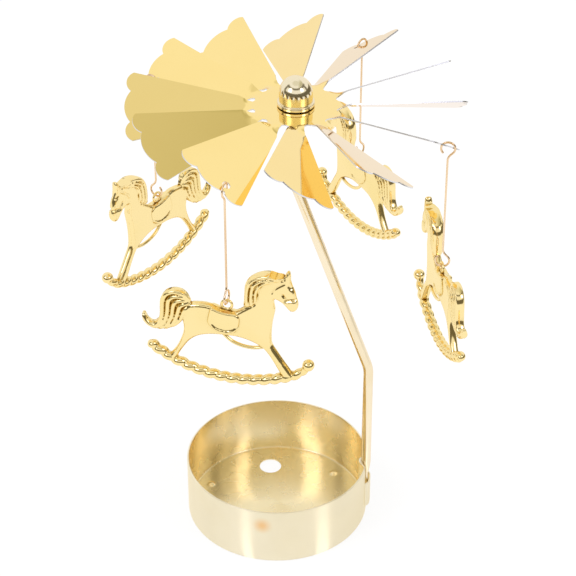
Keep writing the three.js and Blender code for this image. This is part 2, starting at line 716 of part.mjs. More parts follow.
// Body, neck, head and legs
const BODY_SHARES = [
  [-0.21, -0.012], [-0.165, -0.006], [-0.1, -0.008], [-0.04, -0.025], [0.0, -BACK_SHARE], [0.05, -0.028],
  [0.092, -0.006], [0.125, 0.03], [0.155, 0.1], [0.185, 0.165], [0.232, 0.205], [0.285, 0.212],
  [0.33, 0.23], [0.35, 0.266], [0.362, 0.215], [0.371, 0.17], [0.386, 0.135], [0.395, 0.1],
  [0.405, 0.062], [0.402, 0.02], [0.385, 0.0], [0.36, 0.0], [0.335, 0.026], [0.312, 0.056],
  [0.274, 0.078], [0.27, 0.045], [0.276, 0.01], [0.262, -0.07], [0.255, -0.135], [0.254, -0.2],
  [0.258, -0.232], [0.292, -0.29], [0.328, -0.348], [0.37, -0.415], [0.376, -0.45], [0.34, -0.462],
  [0.316, -0.44], [0.272, -0.362], [0.236, -0.3], [0.205, -0.262], [0.165, -0.235], [0.12, -0.216],
  [0.06, -0.202], [0.0, -0.2], [-0.07, -0.202], [-0.13, -0.212], [-0.175, -0.23], [-0.215, -0.262],
  [-0.25, -0.31], [-0.28, -0.36], [-0.308, -0.41], [-0.34, -0.425], [-0.353, -0.4], [-0.335, -0.375],
  [-0.298, -0.325], [-0.27, -0.265], [-0.253, -0.21], [-0.25, -0.165], [-0.256, -0.12], [-0.245, -0.06],
];
const TAIL_SHARES = [
  [-0.486, -0.112], [-0.474, -0.11], [-0.462, -0.142], [-0.44, -0.163], [-0.41, -0.158], [-0.386, -0.12],
  [-0.38, -0.06], [-0.379, -0.01], [-0.366, 0.025], [-0.34, 0.052], [-0.3, 0.068], [-0.26, 0.066],
  [-0.228, 0.04], [-0.205, -0.004], [-0.215, -0.06], [-0.24, -0.11], [-0.262, -0.142], [-0.3, -0.175],
  [-0.34, -0.2], [-0.39, -0.208], [-0.44, -0.198], [-0.475, -0.172],
];
const MANE_SHARES = [
  [0.092, -0.012], [0.1, 0.05], [0.103, 0.11], [0.11, 0.16], [0.132, 0.197], [0.17, 0.224],
  [0.215, 0.236], [0.25, 0.235], [0.285, 0.225], [0.32, 0.232], [0.3, 0.205], [0.245, 0.187],
  [0.205, 0.155], [0.185, 0.07], [0.16, 0.0], [0.125, -0.028],
];
const SADDLE_SHARES = [
  [-0.09, -0.05], [-0.02, -0.058], [0.04, -0.064], [0.064, -0.085], [0.066, -0.125], [0.05, -0.165],
  [0.01, -0.184], [-0.04, -0.18], [-0.085, -0.158], [-0.108, -0.12], [-0.105, -0.075],
];
const GIRTH_SHARES = [
  [-0.03, -0.19], [-0.01, -0.212], [0.025, -0.243], [0.08, -0.266], [0.145, -0.273], [0.195, -0.263],
  [0.225, -0.25],
];
// Locks of hair as ridges, from root to end
const TAIL_LOCK_SHARES = [
  [[-0.235, 0.02], [-0.3, 0.035], [-0.35, 0.0], [-0.362, -0.08], [-0.395, -0.168], [-0.44, -0.182]],
  [[-0.238, -0.005], [-0.29, -0.002], [-0.322, -0.045], [-0.335, -0.12], [-0.37, -0.185]],
  [[-0.245, -0.045], [-0.275, -0.055], [-0.295, -0.105], [-0.325, -0.17]],
];
const MANE_LOCK_SHARES = [
  [[0.3, 0.216], [0.23, 0.216], [0.165, 0.195], [0.128, 0.14], [0.118, 0.02]],
  [[0.25, 0.198], [0.19, 0.17], [0.158, 0.1], [0.142, 0.01]],
];

// From the ring's hole down to the back
const ringDrop = RING_HOLE_RADIUS + 2 * RING_WIRE_RADIUS - RING_SINK;

// The ring's hole stays at the origin whatever the length, with the back under its foot
function sharePoint([forward, up]) {
  const height = (up + BACK_SHARE) * HORSE_LENGTH - ringDrop;
  return new THREE.Vector3(forward * HORSE_LENGTH, height, 0);
}

// How far each corner of an outline may move inwards: the rounding, or less where it is narrow
function insets(outline, rounding) {
  const spot = new THREE.Vector3();
  return outline.map((corner, index) => {
    const before = outline.at(index - 1);
    const after = outline[(index + 1) % outline.length];
    const edges = corner.clone().sub(before).normalize().add(after.clone().sub(corner).normalize());
    let room = Infinity;
    outline.forEach((start, other) => {
      const end = outline[(other + 1) % outline.length];
      if (start !== corner && end !== corner) {
        const nearest = new THREE.Line3(start, end).closestPointToPoint(corner, true, spot);
        room = Math.min(room, nearest.distanceTo(corner));
      }
    });
    const inwards = new THREE.Vector3(-edges.y, edges.x, 0).normalize();
    return inwards.multiplyScalar(Math.min(rounding, room * NARROWEST_SHARE));
  });
}

// A plate with a rounded front edge, from the horse's back to a depth in front of the ring
function embossed(shares, depth, rounding, steps) {
  const outline = shares.map(sharePoint).reverse();
  const moves = insets(outline, rounding);
  const layer = (height, inset) =>
    outline.map((corner, index) => corner.clone().addScaledVector(moves[index], inset).setZ(height));
  const layers = [layer(-HORSE_BACK, 0)];
  for (let step = 0; step <= steps; step += 1) {
    const bend = (Math.PI / 2) * (step / steps);
    layers.push(layer(depth - rounding + rounding * Math.sin(bend), 1 - Math.cos(bend)));
  }
  const lid = THREE.ShapeUtils.triangulateShape(outline, []);
  return solidOf(ringSkin(layers, lid));
}

function ridge(shares, depth) {
  const path = shares.map((share) => sharePoint(share).setZ(depth));
  const taper = (way, angle, whole) => {
    const share = way / whole;
    return LOCK_RADIUS * (1 - share / 2) * Math.min(1, 1 / 2 + 2 * share);
  };
  return solidOf(planarSweep(path, UP, LOCK_SIDES, taper));
}

function ropeLine() {
  const points = [];
  const sweep = ROPE_FRONT_ANGLE - ROPE_REAR_ANGLE;
  const arcRadius = ROPE_ARC_RADIUS_SHARE * HORSE_LENGTH;
  const middle = sharePoint(ROPE_ARC_MIDDLE_SHARES);
  const steps = Math.round((STEPS_PER_TURN * rad(sweep) * arcRadius) / ROPE_PITCH);
  for (let step = 0; step <= steps; step += 1) {
    points.push(polar(arcRadius, ROPE_REAR_ANGLE + sweep * (step / steps)).add(middle));
  }
  const ball = sharePoint(BALL_MIDDLE_SHARES);
  const neck = points[steps].clone().lerp(ball, 1 / 2);
  neck.add(new THREE.Vector3(BALL_RADIUS / 4, -BALL_RADIUS / 4, 0));
  points.push(neck, ball);
  return points;
}

// One horse in its own frame: X forwards, Y up, Z out of the embossed side, ring's hole at the origin
function horseSolid() {
  const twist = (way, angle) =>
    ROPE_RADIUS - (ROPE_RELIEF / 2) * (1 + Math.cos((TURN * way) / ROPE_PITCH + angle));
  const rope = planarSweep(ropeLine(), UP, ROPE_SIDES, twist);
  const ball = new THREE.IcosahedronGeometry(BALL_RADIUS, 1);
  ball.translate(...sharePoint(BALL_MIDDLE_SHARES));
  const ringRadius = RING_HOLE_RADIUS + RING_WIRE_RADIUS;
  const ring = new THREE.TorusGeometry(ringRadius, RING_WIRE_RADIUS, RING_SIDES, RING_SEGMENTS);
  const girth = GIRTH_SHARES.map(sharePoint);
  return joined([
    embossed(BODY_SHARES, BODY_DEPTH, EDGE_ROUNDING, 2),
    embossed(TAIL_SHARES, TAIL_DEPTH, EDGE_ROUNDING, 1),
    embossed(MANE_SHARES, MANE_DEPTH, EDGE_ROUNDING / 2, 1),
    embossed(SADDLE_SHARES, SADDLE_DEPTH, EDGE_ROUNDING / 2, 1),
    solidOf(planarSweep(girth, UP, 4, () => GIRTH_RADIUS)),
    ...TAIL_LOCK_SHARES.map((lock) => ridge(lock, TAIL_DEPTH)),
    ...MANE_LOCK_SHARES.map((lock) => ridge(lock, MANE_DEPTH)),
    solidOf(rope),
    solidOf(ball),
    solidOf(ring),
  ]);
}

// Where a horse's ring hangs: the hook's wire passes just under the top of the ring's hole
function horsePlace(index) {
  const { seat } = hangerSeat(index);
  const { forward, outward } = facing(index, HORSE_TURNS[index]);
  const drop = HOOK_DROP + hangerSpan(index) + HOOK_RADIUS + RING_HOLE_RADIUS - WIRE_RADIUS - SEAT_GAP;
  const origin = seat.clone().addScaledVector(UP, -drop);
  return new THREE.Matrix4().makeBasis(forward, UP, outward).setPosition(origin);
}

// The carousel
const carousel = new THREE.Group();
carousel.name = 'candle_carousel';

function addPiece(name, geometry, material) {
  const piece = new THREE.Mesh(geometry, material);
  piece.name = name;
  carousel.add(piece);
  return piece;
}

addPiece('cup', cupGeometry(), finishes.cup);
addPiece('arm', armGeometry(), finishes.arm);
addPiece('fan_wheel', fanGeometry(), finishes.fan);
addPiece('bearing_cap', capGeometry(), finishes.cap);
const horse = geometryOf(horseSolid());
for (let index = 0; index < HANGER_COUNT; index += 1) {
  addPiece(`hanger_${index + 1}`, hangerGeometry(index), finishes.wire);
  addPiece(`rocking_horse_${index + 1}`, horse, finishes.horse).applyMatrix4(horsePlace(index));
}

export default carousel;
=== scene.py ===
"""Looks of the candle carousel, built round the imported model.

Every part of the product is a class that builds its own mesh and dresses it. Sizes are in
millimetres, with the origin in the middle of the cup's underside, +X towards the arm and +Z up;
they become metres where a mesh is made.
"""

import functools
import json
import logging
import math
import operator
from collections.abc import Callable, Iterable, Sequence
from dataclasses import dataclass, field
from enum import Enum

import bmesh
import bpy
import numpy as np
from mathutils import Euler, Matrix, Vector
from mathutils.geometry import delaunay_2d_cdt

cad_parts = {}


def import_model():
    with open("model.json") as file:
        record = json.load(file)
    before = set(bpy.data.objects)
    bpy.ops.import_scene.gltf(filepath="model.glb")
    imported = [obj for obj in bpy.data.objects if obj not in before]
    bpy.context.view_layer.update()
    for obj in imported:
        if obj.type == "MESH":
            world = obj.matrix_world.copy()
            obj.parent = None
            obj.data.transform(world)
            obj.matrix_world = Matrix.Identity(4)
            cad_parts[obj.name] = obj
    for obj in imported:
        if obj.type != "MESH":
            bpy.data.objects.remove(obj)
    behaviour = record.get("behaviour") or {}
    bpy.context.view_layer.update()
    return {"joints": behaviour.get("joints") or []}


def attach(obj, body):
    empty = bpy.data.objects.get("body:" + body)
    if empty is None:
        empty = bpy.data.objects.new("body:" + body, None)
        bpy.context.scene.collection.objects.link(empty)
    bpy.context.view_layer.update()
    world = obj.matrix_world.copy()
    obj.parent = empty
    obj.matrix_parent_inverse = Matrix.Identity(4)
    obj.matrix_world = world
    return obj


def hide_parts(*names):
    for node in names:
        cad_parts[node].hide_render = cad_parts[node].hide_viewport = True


MM = 0.001
UP = np.array([0.0, 0.0, 1.0])
FULL_TURN = 2 * math.pi
CREASE = 40.0  # degrees: sharper edges stay sharp

Colour = tuple[float, float, float]
Point = tuple[float, float]
Place = tuple[float, float, float]
Stretch = tuple[float, float, float]  # its start, its end and half the width of its soft ends
Face = tuple[int, ...]

WHITE: Colour = (1.0, 1.0, 1.0)
MIX_FIRST, MIX_SECOND, MIX_RESULT = 6, 7, 2  # the colour sockets of a Mix node

log = logging.getLogger("carousel")


# Shader expressions


class Signal:
    """A shader socket that stands in a Python expression."""

    def __init__(self, graph: "Graph", socket: bpy.types.NodeSocket) -> None:
        """Wraps one output socket of a graph."""
        self.graph = graph
        self.socket = socket

    def _maths(self, operation: str, first: "Signal | float", second: "Signal | float") -> "Signal":
        """Adds a Math node.

        Args:
            operation: the node's operation.
            first: its first value or link.
            second: its second value or link.

        Returns:
            The node's value.
        """
        return self.graph.node("ShaderNodeMath", {"operation": operation}, {0: first, 1: second})["Value"]

    def __add__(self, other: "Signal | float") -> "Signal":
        """self + other"""
        return self._maths("ADD", self, other)

    def __radd__(self, other: float) -> "Signal":
        """other + self"""
        return self._maths("ADD", other, self)

    def __sub__(self, other: "Signal | float") -> "Signal":
        """self - other"""
        return self._maths("SUBTRACT", self, other)

    def __rsub__(self, other: float) -> "Signal":
        """other - self"""
        return self._maths("SUBTRACT", other, self)

    def __mul__(self, other: "Signal | float") -> "Signal":
        """self * other"""
        return self._maths("MULTIPLY", self, other)

    def __rmul__(self, other: float) -> "Signal":
        """other * self"""
        return self._maths("MULTIPLY", other, self)

    def bearing(self, ahead: "Signal") -> "Signal":
        """The direction of self from ahead, in radians."""
        return self._maths("ARCTAN2", self, ahead)

    def below(self, most: float) -> "Signal":
        """The lower of this value and a limit."""
        return self._maths("MINIMUM", self, most)

    def between(self, low: float, high: float, soft: float) -> "Signal":
        """A stretch of this value with soft ends.

        Args:
            low: where the stretch starts.
            high: where it ends.
            soft: half the width of each end.

        Returns:
            1 inside the stretch and 0 outside it.
        """
        return self.rise(low - soft, low + soft) * self.rise(high + soft, high - soft)

    def rise(self, low: float, high: float) -> "Signal":
        """A smooth step.

        Args:
            low: where the step starts from 0.
            high: where it has come to 1; below low, the step falls.

        Returns:
            The step, from 0 to 1.
        """
        settings = {"interpolation_type": "SMOOTHSTEP", "clamp": True}
        if low < high:
            return self.graph.node("ShaderNodeMapRange", settings, {0: self, 1: low, 2: high})["Result"]
        return 1.0 - self.graph.node("ShaderNodeMapRange", settings, {0: self, 1: high, 2: low})["Result"]


class Outputs:
    """The outputs of a node, by name or number."""

    def __init__(self, graph: "Graph", node: bpy.types.Node) -> None:
        """Keeps the node and its graph."""
        self.graph = graph
        self.made = node

    def __getitem__(self, name: str | int) -> Signal:
        """The output of that name or number."""
        return Signal(self.graph, self.made.outputs[name])


class Graph:
    """The node tree of one material or of the world."""

    def __init__(self, tree: bpy.types.NodeTree) -> None:
        """Empties a node tree."""
        self.tree = tree
        tree.nodes.clear()

    def node(self, kind: str, settings: dict[str, object], inputs: dict[str | int, object]) -> Outputs:
        """Adds a node.

        Args:
            kind: the node's type.
            settings: its own values, set first.
            inputs: values or links of its sockets, by name or number.

        Returns:
            Its outputs.
        """
        made = self.tree.nodes.new(kind)
        for name, value in settings.items():
            setattr(made, name, value)
        for name, value in inputs.items():
            if isinstance(value, Signal):
                self.tree.links.new(value.socket, made.inputs[name])
            else:
                made.inputs[name].default_value = value
        return Outputs(self, made)

    def mix(self, blend: str, share: Signal, first: "Signal | Colour", second: Colour) -> Signal:
        """Mixes two colours.

        Args:
            blend: the Mix node's way of blending.
            share: how much of the second colour there is.
            first: a colour.
            second: a colour.

        Returns:
            The mixed colour.
        """
        first = first if isinstance(first, Signal) else (*first, 1.0)
        settings = {"data_type": "RGBA", "blend_type": blend}
        inputs = {"Factor": share, MIX_FIRST: first, MIX_SECOND: (*second, 1.0)}
        return self.node("ShaderNodeMix", settings, inputs)[MIX_RESULT]

    def vector(self, operation: str, first: object, second: object, output: str = "Vector") -> Signal:
        """Adds a Vector Math node.

        Args:
            operation: the node's operation.
            first: its first vector.
            second: its second vector.
            output: the output to take.

        Returns:
            The node's result.
        """
        return self.node("ShaderNodeVectorMath", {"operation": operation}, {0: first, 1: second})[output]

    def light(self, kind: str, colour: "Signal | Colour", strength: "Signal | float") -> Signal:
        """Adds a shader that gives light.

        Args:
            kind: an Emission or a Background node's type.
            colour: of its light.
            strength: of its light.

        Returns:
            The shader.
        """
        colour = colour if isinstance(colour, Signal) else (*colour, 1.0)
        return self.node(kind, {}, {"Color": colour, "Strength": strength})[0]

    def faded(self, share: Signal, first: Signal, second: Signal) -> Signal:
        """Mixes two shaders.

        Args:
            share: how much of the second shader there is.
            first: a shader.
            second: a shader.

        Returns:
            The mixed shader.
        """
        return self.node("ShaderNodeMixShader", {}, {0: share, 1: first, 2: second})["Shader"]


def total(signals: Iterable[Signal]) -> Signal:
    """The sum of several signals."""
    return functools.reduce(operator.add, signals)


# Finishes


class Grain(Enum):
    """How a metal surface was worked, as the stretch of its marks along X, Y and Z."""

    MIRROR = (1.0, 1.0, 1.0)
    TURNED = (0.35, 0.35, 9.0)
    DRAWN = (6.0, 6.0, 0.25)


@dataclass(frozen=True)
class Noise:
    """A noise over a surface.

    Attributes:
        scale: its waves in a metre.
        detail: how many finer layers it has.
        peaks: where it counts, from the value that becomes 0 to the one that becomes 1.
    """

    scale: float
    detail: float
    peaks: Point | None = None

    def over(self, graph: Graph, place: Signal) -> Signal:
        """Reads the noise.

        Args:
            graph: the material's graph.
            place: where it is read.

        Returns:
            The noise, from 0 to 1.
        """
        inputs = {"Vector": place, "Scale": self.scale, "Detail": self.detail}
        made = graph.node("ShaderNodeTexNoise", {}, inputs)["Fac"]
        return made.rise(*self.peaks) if self.peaks else made


CLOUDS = Noise(45.0, 3.0, (0.35, 0.7))
SPECKLE = Noise(900.0, 2.0, (0.66, 0.82))
DULL_PATCHES = Noise(160.0, 4.0, (0.42, 0.72))
FINE_MARKS = Noise(1500.0, 2.0)
WIDE_WAVES = Noise(28.0, 1.0)
CLOUD_SHARE = 0.8


@dataclass(frozen=True)
class PaintedReflection:
    """A warm reflection painted into the plating as a soft blotch.

    Attributes:
        middle: its middle, in millimetres.
        reach: its radius, in millimetres.
        colour: what the metal is shaded with there.
        strength: how much of that colour its middle takes.
    """

    middle: Place
    reach: float
    colour: Colour = (1.0, 0.6, 0.24)
    strength: float = 0.7

    def share(self, graph: Graph, place: Signal) -> Signal:
        """How much of the painted reflection there is.

        Args:
            graph: the material's graph.
            place: the place that is shaded.

        Returns:
            A share from 0 outside to the strength in the middle.
        """
        middle = tuple(value * MM for value in self.middle)
        return graph.vector("DISTANCE", place, middle, "Value").rise(self.reach * MM, 0.0) * self.strength


@dataclass(frozen=True)
class PlatedMetal:
    """Gold-coloured plating, or a bare cut edge, with its marks and the stains of its clouds, and where they
    are set, a painted warm reflection and painted shade in narrow grooves and corners.

    Attributes:
        name: the material's name.
        colour: what the metal reflects straight on.
        edge: what it reflects at a grazing angle.
        stain: the slightly darker colour of its clouds.
        roughness: of the clean surface.
        haze: how much rougher the dull patches are.
        grain: how the surface was worked.
        marks: height of the fine marks, in millimetres.
        waves: height of the wide waves in the sheet, in millimetres.
        stretch: anisotropy of the gloss.
        turn: turn of the stretched gloss, as a share of a full turn.
        painted_shade: how dark the shade is that is painted into narrow grooves and corners, from 0 to 1.
        painted_shade_colour: what that painted shade multiplies the colour with.
        painted_shade_reach: how far off an open place has nothing over it, in millimetres.
        painted_shade_ends: how open a place is where the painted shade starts and where it is full.
        painted_reflection: a warm reflection painted into the colour, where there is one.
    """

    name: str
    colour: Colour
    edge: Colour
    stain: Colour
    roughness: float
    haze: float
    grain: Grain
    marks: float
    waves: float
    stretch: float = 0.0
    turn: float = 0.0
    painted_shade: float = 0.0
    painted_shade_colour: Colour = (0.68, 0.56, 0.4)
    painted_shade_reach: float = 0.9
    painted_shade_ends: Point = (0.95, 0.55)
    painted_reflection: PaintedReflection | None = None

    def material(self) -> bpy.types.Material:
        """Makes the finish.

        Returns:
            The material.
        """
        made = bpy.data.materials.new(self.name)
        made.use_nodes = True
        graph = Graph(made.node_tree)
        place = graph.node("ShaderNodeTexCoord", {}, {})["Object"]
        worked = graph.vector("MULTIPLY", place, self.grain.value)
        dulling = DULL_PATCHES.over(graph, place)
        fine = FINE_MARKS.over(graph, worked)
        height = fine * (self.marks * MM) + WIDE_WAVES.over(graph, place) * (self.waves * MM)
        bumps = {"Strength": 1.0, "Distance": 1.0, "Height": height}
        inputs = {
            "Base Color": self.reflected(graph, place),
            "Metallic": 1.0,
            "Roughness": self.roughness + dulling * self.haze + fine * (self.haze / 2),
            "Specular Tint": (*self.edge, 1.0),
            "Anisotropic": self.stretch,
            "Anisotropic Rotation": self.turn,
            "Normal": graph.node("ShaderNodeBump", {}, bumps)["Normal"],
        }
        shader = graph.node("ShaderNodeBsdfPrincipled", {}, inputs)["BSDF"]
        graph.node("ShaderNodeOutputMaterial", {}, {"Surface": shader})
        return made

    def reflected(self, graph: Graph, place: Signal) -> Signal:
        """What the metal reflects straight on, with its clouds, and where they are set, its painted warm
        reflection and the shade painted into its narrow grooves and corners.

        Args:
            graph: the material's graph.
            place: the place that is shaded.

        Returns:
            The colour.
        """
        share = CLOUDS.over(graph, place) * CLOUD_SHARE + SPECKLE.over(graph, place) * (1 - CLOUD_SHARE)
        colour = graph.mix("MIX", share, self.colour, self.stain)
        # painted reflection: a soft warm blotch multiplied into the colour
        if self.painted_reflection:
            colour = graph.mix("MULTIPLY", self.painted_reflection.share(graph, place), colour, self.painted_reflection.colour)
        # painted shade: ambient occlusion darkens the colour toward a brown in narrow grooves and corners,
        # standing in for shade and for gold mirrored in gold
        if self.painted_shade:
            settings = {"samples": 8, "only_local": True}
            inputs = {"Distance": self.painted_shade_reach * MM}
            openness = graph.node("ShaderNodeAmbientOcclusion", settings, inputs)["AO"]
            share = openness.rise(*self.painted_shade_ends) * self.painted_shade
            colour = graph.mix("MULTIPLY", share, colour, self.painted_shade_colour)
        return colour


# the soft warm blotch on the front of the outer wall is a painted reflection
SATIN_OUTSIDE = PlatedMetal(
    "satin_outside", colour=(0.92, 0.83, 0.62), edge=(1.0, 0.96, 0.86), stain=(0.9, 0.8, 0.57),
    roughness=0.29, haze=0.03, grain=Grain.TURNED, marks=0.0003, waves=0.002,
    stretch=0.85, turn=0.25, painted_reflection=PaintedReflection((-1.7, -30.0, 15.2), 3.9),
)
# the inside of the cup gets painted shade in its narrow corners, which darkens the line where the floor meets
# the wall
SATIN_INSIDE = PlatedMetal(
    "satin_inside", colour=(0.95, 0.83, 0.54), edge=(1.0, 0.95, 0.84), stain=(0.93, 0.8, 0.5),
    roughness=0.26, haze=0.02, grain=Grain.TURNED, marks=0.0002, waves=0.001,
    stretch=0.85, turn=0.25, painted_shade=0.7,
)
ARM_GOLD = PlatedMetal(
    "arm_gold", colour=(0.94, 0.82, 0.6), edge=(1.0, 0.93, 0.9), stain=(0.88, 0.74, 0.5),
    roughness=0.12, haze=0.05, grain=Grain.DRAWN, marks=0.0005, waves=0.004,
)
MIRROR_GOLD = PlatedMetal(
    "mirror_gold", colour=(0.99, 0.775, 0.325), edge=(0.92, 0.9, 1.0), stain=(0.98, 0.76, 0.31),
    roughness=0.03, haze=0.02, grain=Grain.MIRROR, marks=0.0, waves=0.004,
)
CAP_GOLD = PlatedMetal(
    "cap_gold", colour=(0.88, 0.78, 0.56), edge=(1.0, 0.95, 0.88), stain=(0.84, 0.72, 0.47),
    roughness=0.07, haze=0.05, grain=Grain.DRAWN, marks=0.0004, waves=0.002,
)
# the cap's upright wall: its rougher drawn marks are its own finish, while its deeper gold is a painted
# reflection of the gold wheel under it
CAP_WALL_GOLD_WITH_PAINTED_REFLECTION = PlatedMetal(
    "cap_wall_gold_with_painted_reflection", colour=(0.92, 0.78, 0.42), edge=(1.0, 0.94, 0.8), stain=(0.84, 0.66, 0.28),
    roughness=0.2, haze=0.1, grain=Grain.DRAWN, marks=0.0025, waves=0.002,
)
CUT_EDGE = PlatedMetal(
    "cut_edge", colour=(0.8, 0.79, 0.8), edge=WHITE, stain=(0.66, 0.65, 0.67),
    roughness=0.3, haze=0.1, grain=Grain.MIRROR, marks=0.001, waves=0.0,
)
WIRE_GOLD = PlatedMetal(
    "wire_gold", colour=(0.9, 0.69, 0.46), edge=(1.0, 0.9, 0.8), stain=(0.8, 0.57, 0.36),
    roughness=0.18, haze=0.08, grain=Grain.DRAWN, marks=0.0008, waves=0.0,
)
# the charms get full painted shade in their grooves: a dark brown that stands in for shade and for gold
# mirrored in gold
CHARM_GOLD = PlatedMetal(
    "charm_gold", colour=(0.965, 0.775, 0.385), edge=(1.0, 0.95, 0.82), stain=(0.92, 0.735, 0.32),
    roughness=0.08, haze=0.05, grain=Grain.MIRROR, marks=0.0004, waves=0.01,
    painted_shade=1.0, painted_shade_colour=(0.5, 0.41, 0.2),
)


# Meshes


class Skin:
    """Points and faces gathered for one piece."""

    def __init__(self) -> None:
        """Starts with no points."""
        self.points: list[np.ndarray] = []
        self.faces: list[Face] = []
        self.count = 0

    def add(self, points: np.ndarray, faces: Iterable[Face]) -> None:
        """Adds a group of points and its faces.

        Args:
            points: rows of x, y and z in millimetres.
            faces: corners of each face, counted from the group's first point.
        """
        points = np.asarray(points, float).reshape(-1, 3)
        self.points.append(points)
        self.faces.extend(tuple(corner + self.count for corner in face) for face in faces)
        self.count += len(points)

    def add_rings(self, rings: np.ndarray, capped: bool = True) -> None:
        """Adds a tube through rings of points.

        Args:
            rings: the rings, each an array of points, counter-clockwise as seen from the last ring.
            capped: whether both ends get a face.
        """
        rows, sides = rings.shape[:2]
        faces: list[Face] = []
        for row in range(rows - 1):
            for side in range(sides):
                after = (side + 1) % sides
                low, high = row * sides, (row + 1) * sides
                faces.append((low + side, low + after, high + after, high + side))
        if capped:
            faces.append(tuple(range(sides - 1, -1, -1)))
            faces.append(tuple(range((rows - 1) * sides, rows * sides)))
        self.add(rings.reshape(-1, 3), faces)

    def build(
        self, name: str, finishes: Sequence[bpy.types.Material], crease: float = CREASE, weld: float = 0.0,
    ) -> bpy.types.Object:
        """Makes the object.

        Args:
            name: the piece's name.
            finishes: its materials, the main one first.
            crease: edges sharper than this, in degrees, stay sharp.
            weld: points nearer than this, in millimetres, are joined.

        Returns:
            The object, in the scene.
        """
        mesh = bpy.data.meshes.new(name)
        mesh.from_pydata((np.concatenate(self.points) * MM).tolist(), [], self.faces)
        if weld:
            self._weld(mesh, weld * MM)
        mesh.shade_smooth()
        mesh.set_sharp_from_angle(angle=math.radians(crease))
        for finish in finishes:
            mesh.materials.append(finish)
        made = bpy.data.objects.new(name, mesh)
        bpy.context.scene.collection.objects.link(made)
        return made

    @staticmethod
    def _weld(mesh: bpy.types.Mesh, distance: float) -> None:
        """Joins the points of a mesh that lie together.

        Args:
            mesh: the mesh.
            distance: how near they lie, in metres.
        """
        work = bmesh.new()
        work.from_mesh(mesh)
        bmesh.ops.remove_doubles(work, verts=work.verts, dist=distance)
        bmesh.ops.recalc_face_normals(work, faces=work.faces)
        work.to_mesh(mesh)
        work.free()


def thicken(
    piece: bpy.types.Object, thickness: float, offset: float, broken: float, edge_finish: int = 0,
    far_finish: int = 0,
) -> None:
    """Gives a sheet its thickness and breaks its cut edges.

    Args:
        piece: the sheet.
        thickness: in millimetres.
        offset: 1 grows outwards from the sheet, -1 inwards, 0 both ways.
        broken: width of the broken edges, in millimetres, or 0 to leave them sharp.
        edge_finish: how many materials further the cut edge's finish is.
        far_finish: how many materials further the finish of the grown side is.
    """
    shell = piece.modifiers.new("thickness", "SOLIDIFY")
    shell.thickness = thickness * MM
    shell.offset = offset
    shell.use_even_offset = True
    shell.material_offset_rim = edge_finish
    shell.material_offset = far_finish
    if broken:
        bevel = piece.modifiers.new("broken_edges", "BEVEL")
        bevel.width = broken * MM
        bevel.segments = 3
        bevel.limit_method = "ANGLE"
        bevel.angle_limit = math.radians(60)
    whole = piece.evaluated_get(bpy.context.evaluated_depsgraph_get())
    mesh = bpy.data.meshes.new_from_object(whole)
    mesh.set_sharp_from_angle(angle=math.radians(CREASE))
    piece.modifiers.clear()
    piece.data = mesh


def place(piece: bpy.types.Object, body: str, node: str, slot: str) -> None:
    """Lets a piece ride on its body and stand for its CAD node.

    Args:
        piece: the piece, in its place.
        body: the CAD body that carries it.
        node: the CAD node that it replaces.
        slot: the record's material slot; not used.
    """
    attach(piece, body)
    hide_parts(node)
    log.info("%s stands for %s: %d points", piece.name, node, len(piece.data.vertices))


def polar(radius: float, degrees: float) -> np.ndarray:
    """A point in the plan.

    Args:
        radius: from the axis.
        degrees: from +X, counter-clockwise.

    Returns:
        Its x and y.
    """
    angle = math.radians(degrees)
    return np.array([radius * math.cos(angle), radius * math.sin(angle)])


def circle(middle: Sequence[float], radius: float, sides: int) -> np.ndarray:
    """A ring of points in the plan.

    Args:
        middle: its middle.
        radius: its radius.
        sides: how many points it has.

    Returns:
        The points, counter-clockwise.
    """
    turns = np.arange(sides) * FULL_TURN / sides
    return np.stack([middle[0] + radius * np.cos(turns), middle[1] + radius * np.sin(turns)], axis=1)


def turned(profile: np.ndarray, middle: Sequence[float], sides: int) -> np.ndarray:
    """Turns a section round an upright axis.

    Args:
        profile: the section, as rows of radius and height.
        middle: where the heights start on the axis.
        sides: points in each ring.

    Returns:
        A ring for each row of the section.
    """
    angles = np.arange(sides) * FULL_TURN / sides
    return np.stack([
        middle[0] + profile[:, :1] * np.cos(angles),
        middle[1] + profile[:, :1] * np.sin(angles),
        middle[2] + profile[:, 1:] * np.ones(sides),
    ], axis=2)


def curve_through(points: np.ndarray, spacing: float, closed: bool) -> np.ndarray:
    """A smooth line through given points, as a centripetal Catmull-Rom curve.

    Args:
        points: the points, in two or three dimensions.
        spacing: how far apart the new points lie.
        closed: whether the line closes on itself.

    Returns:
        The new points.
    """
    count = len(points)
    spans = count if closed else count - 1
    line: list[np.ndarray] = []
    for index in range(spans):
        if closed:
            knots = [points[(index + step) % count] for step in (-1, 0, 1, 2)]
        else:
            first, last = points[0], points[-1]
            before = points[index - 1] if index else 2 * first - points[1]
            after = points[index + 2] if index + 2 < count else 2 * last - points[-2]
            knots = [before, points[index], points[index + 1], after]
        times = [0.0]
        for near, far in zip(knots, knots[1:]):
            times.append(times[-1] + max(float(np.linalg.norm(far - near)), 1e-6) ** 0.5)
        steps = max(1, round(float(np.linalg.norm(knots[2] - knots[1])) / spacing))
        for step in range(steps):
            time = times[1] + (times[2] - times[1]) * step / steps
            layer = knots
            for depth in (1, 2, 3):
                layer = [
                    layer[k] + (layer[k + 1] - layer[k]) * (time - times[k]) / (times[k + depth] - times[k])
                    for k in range(len(layer) - 1)
                ]
            line.append(layer[0])
    if not closed:
        line.append(points[-1])
    return np.array(line)


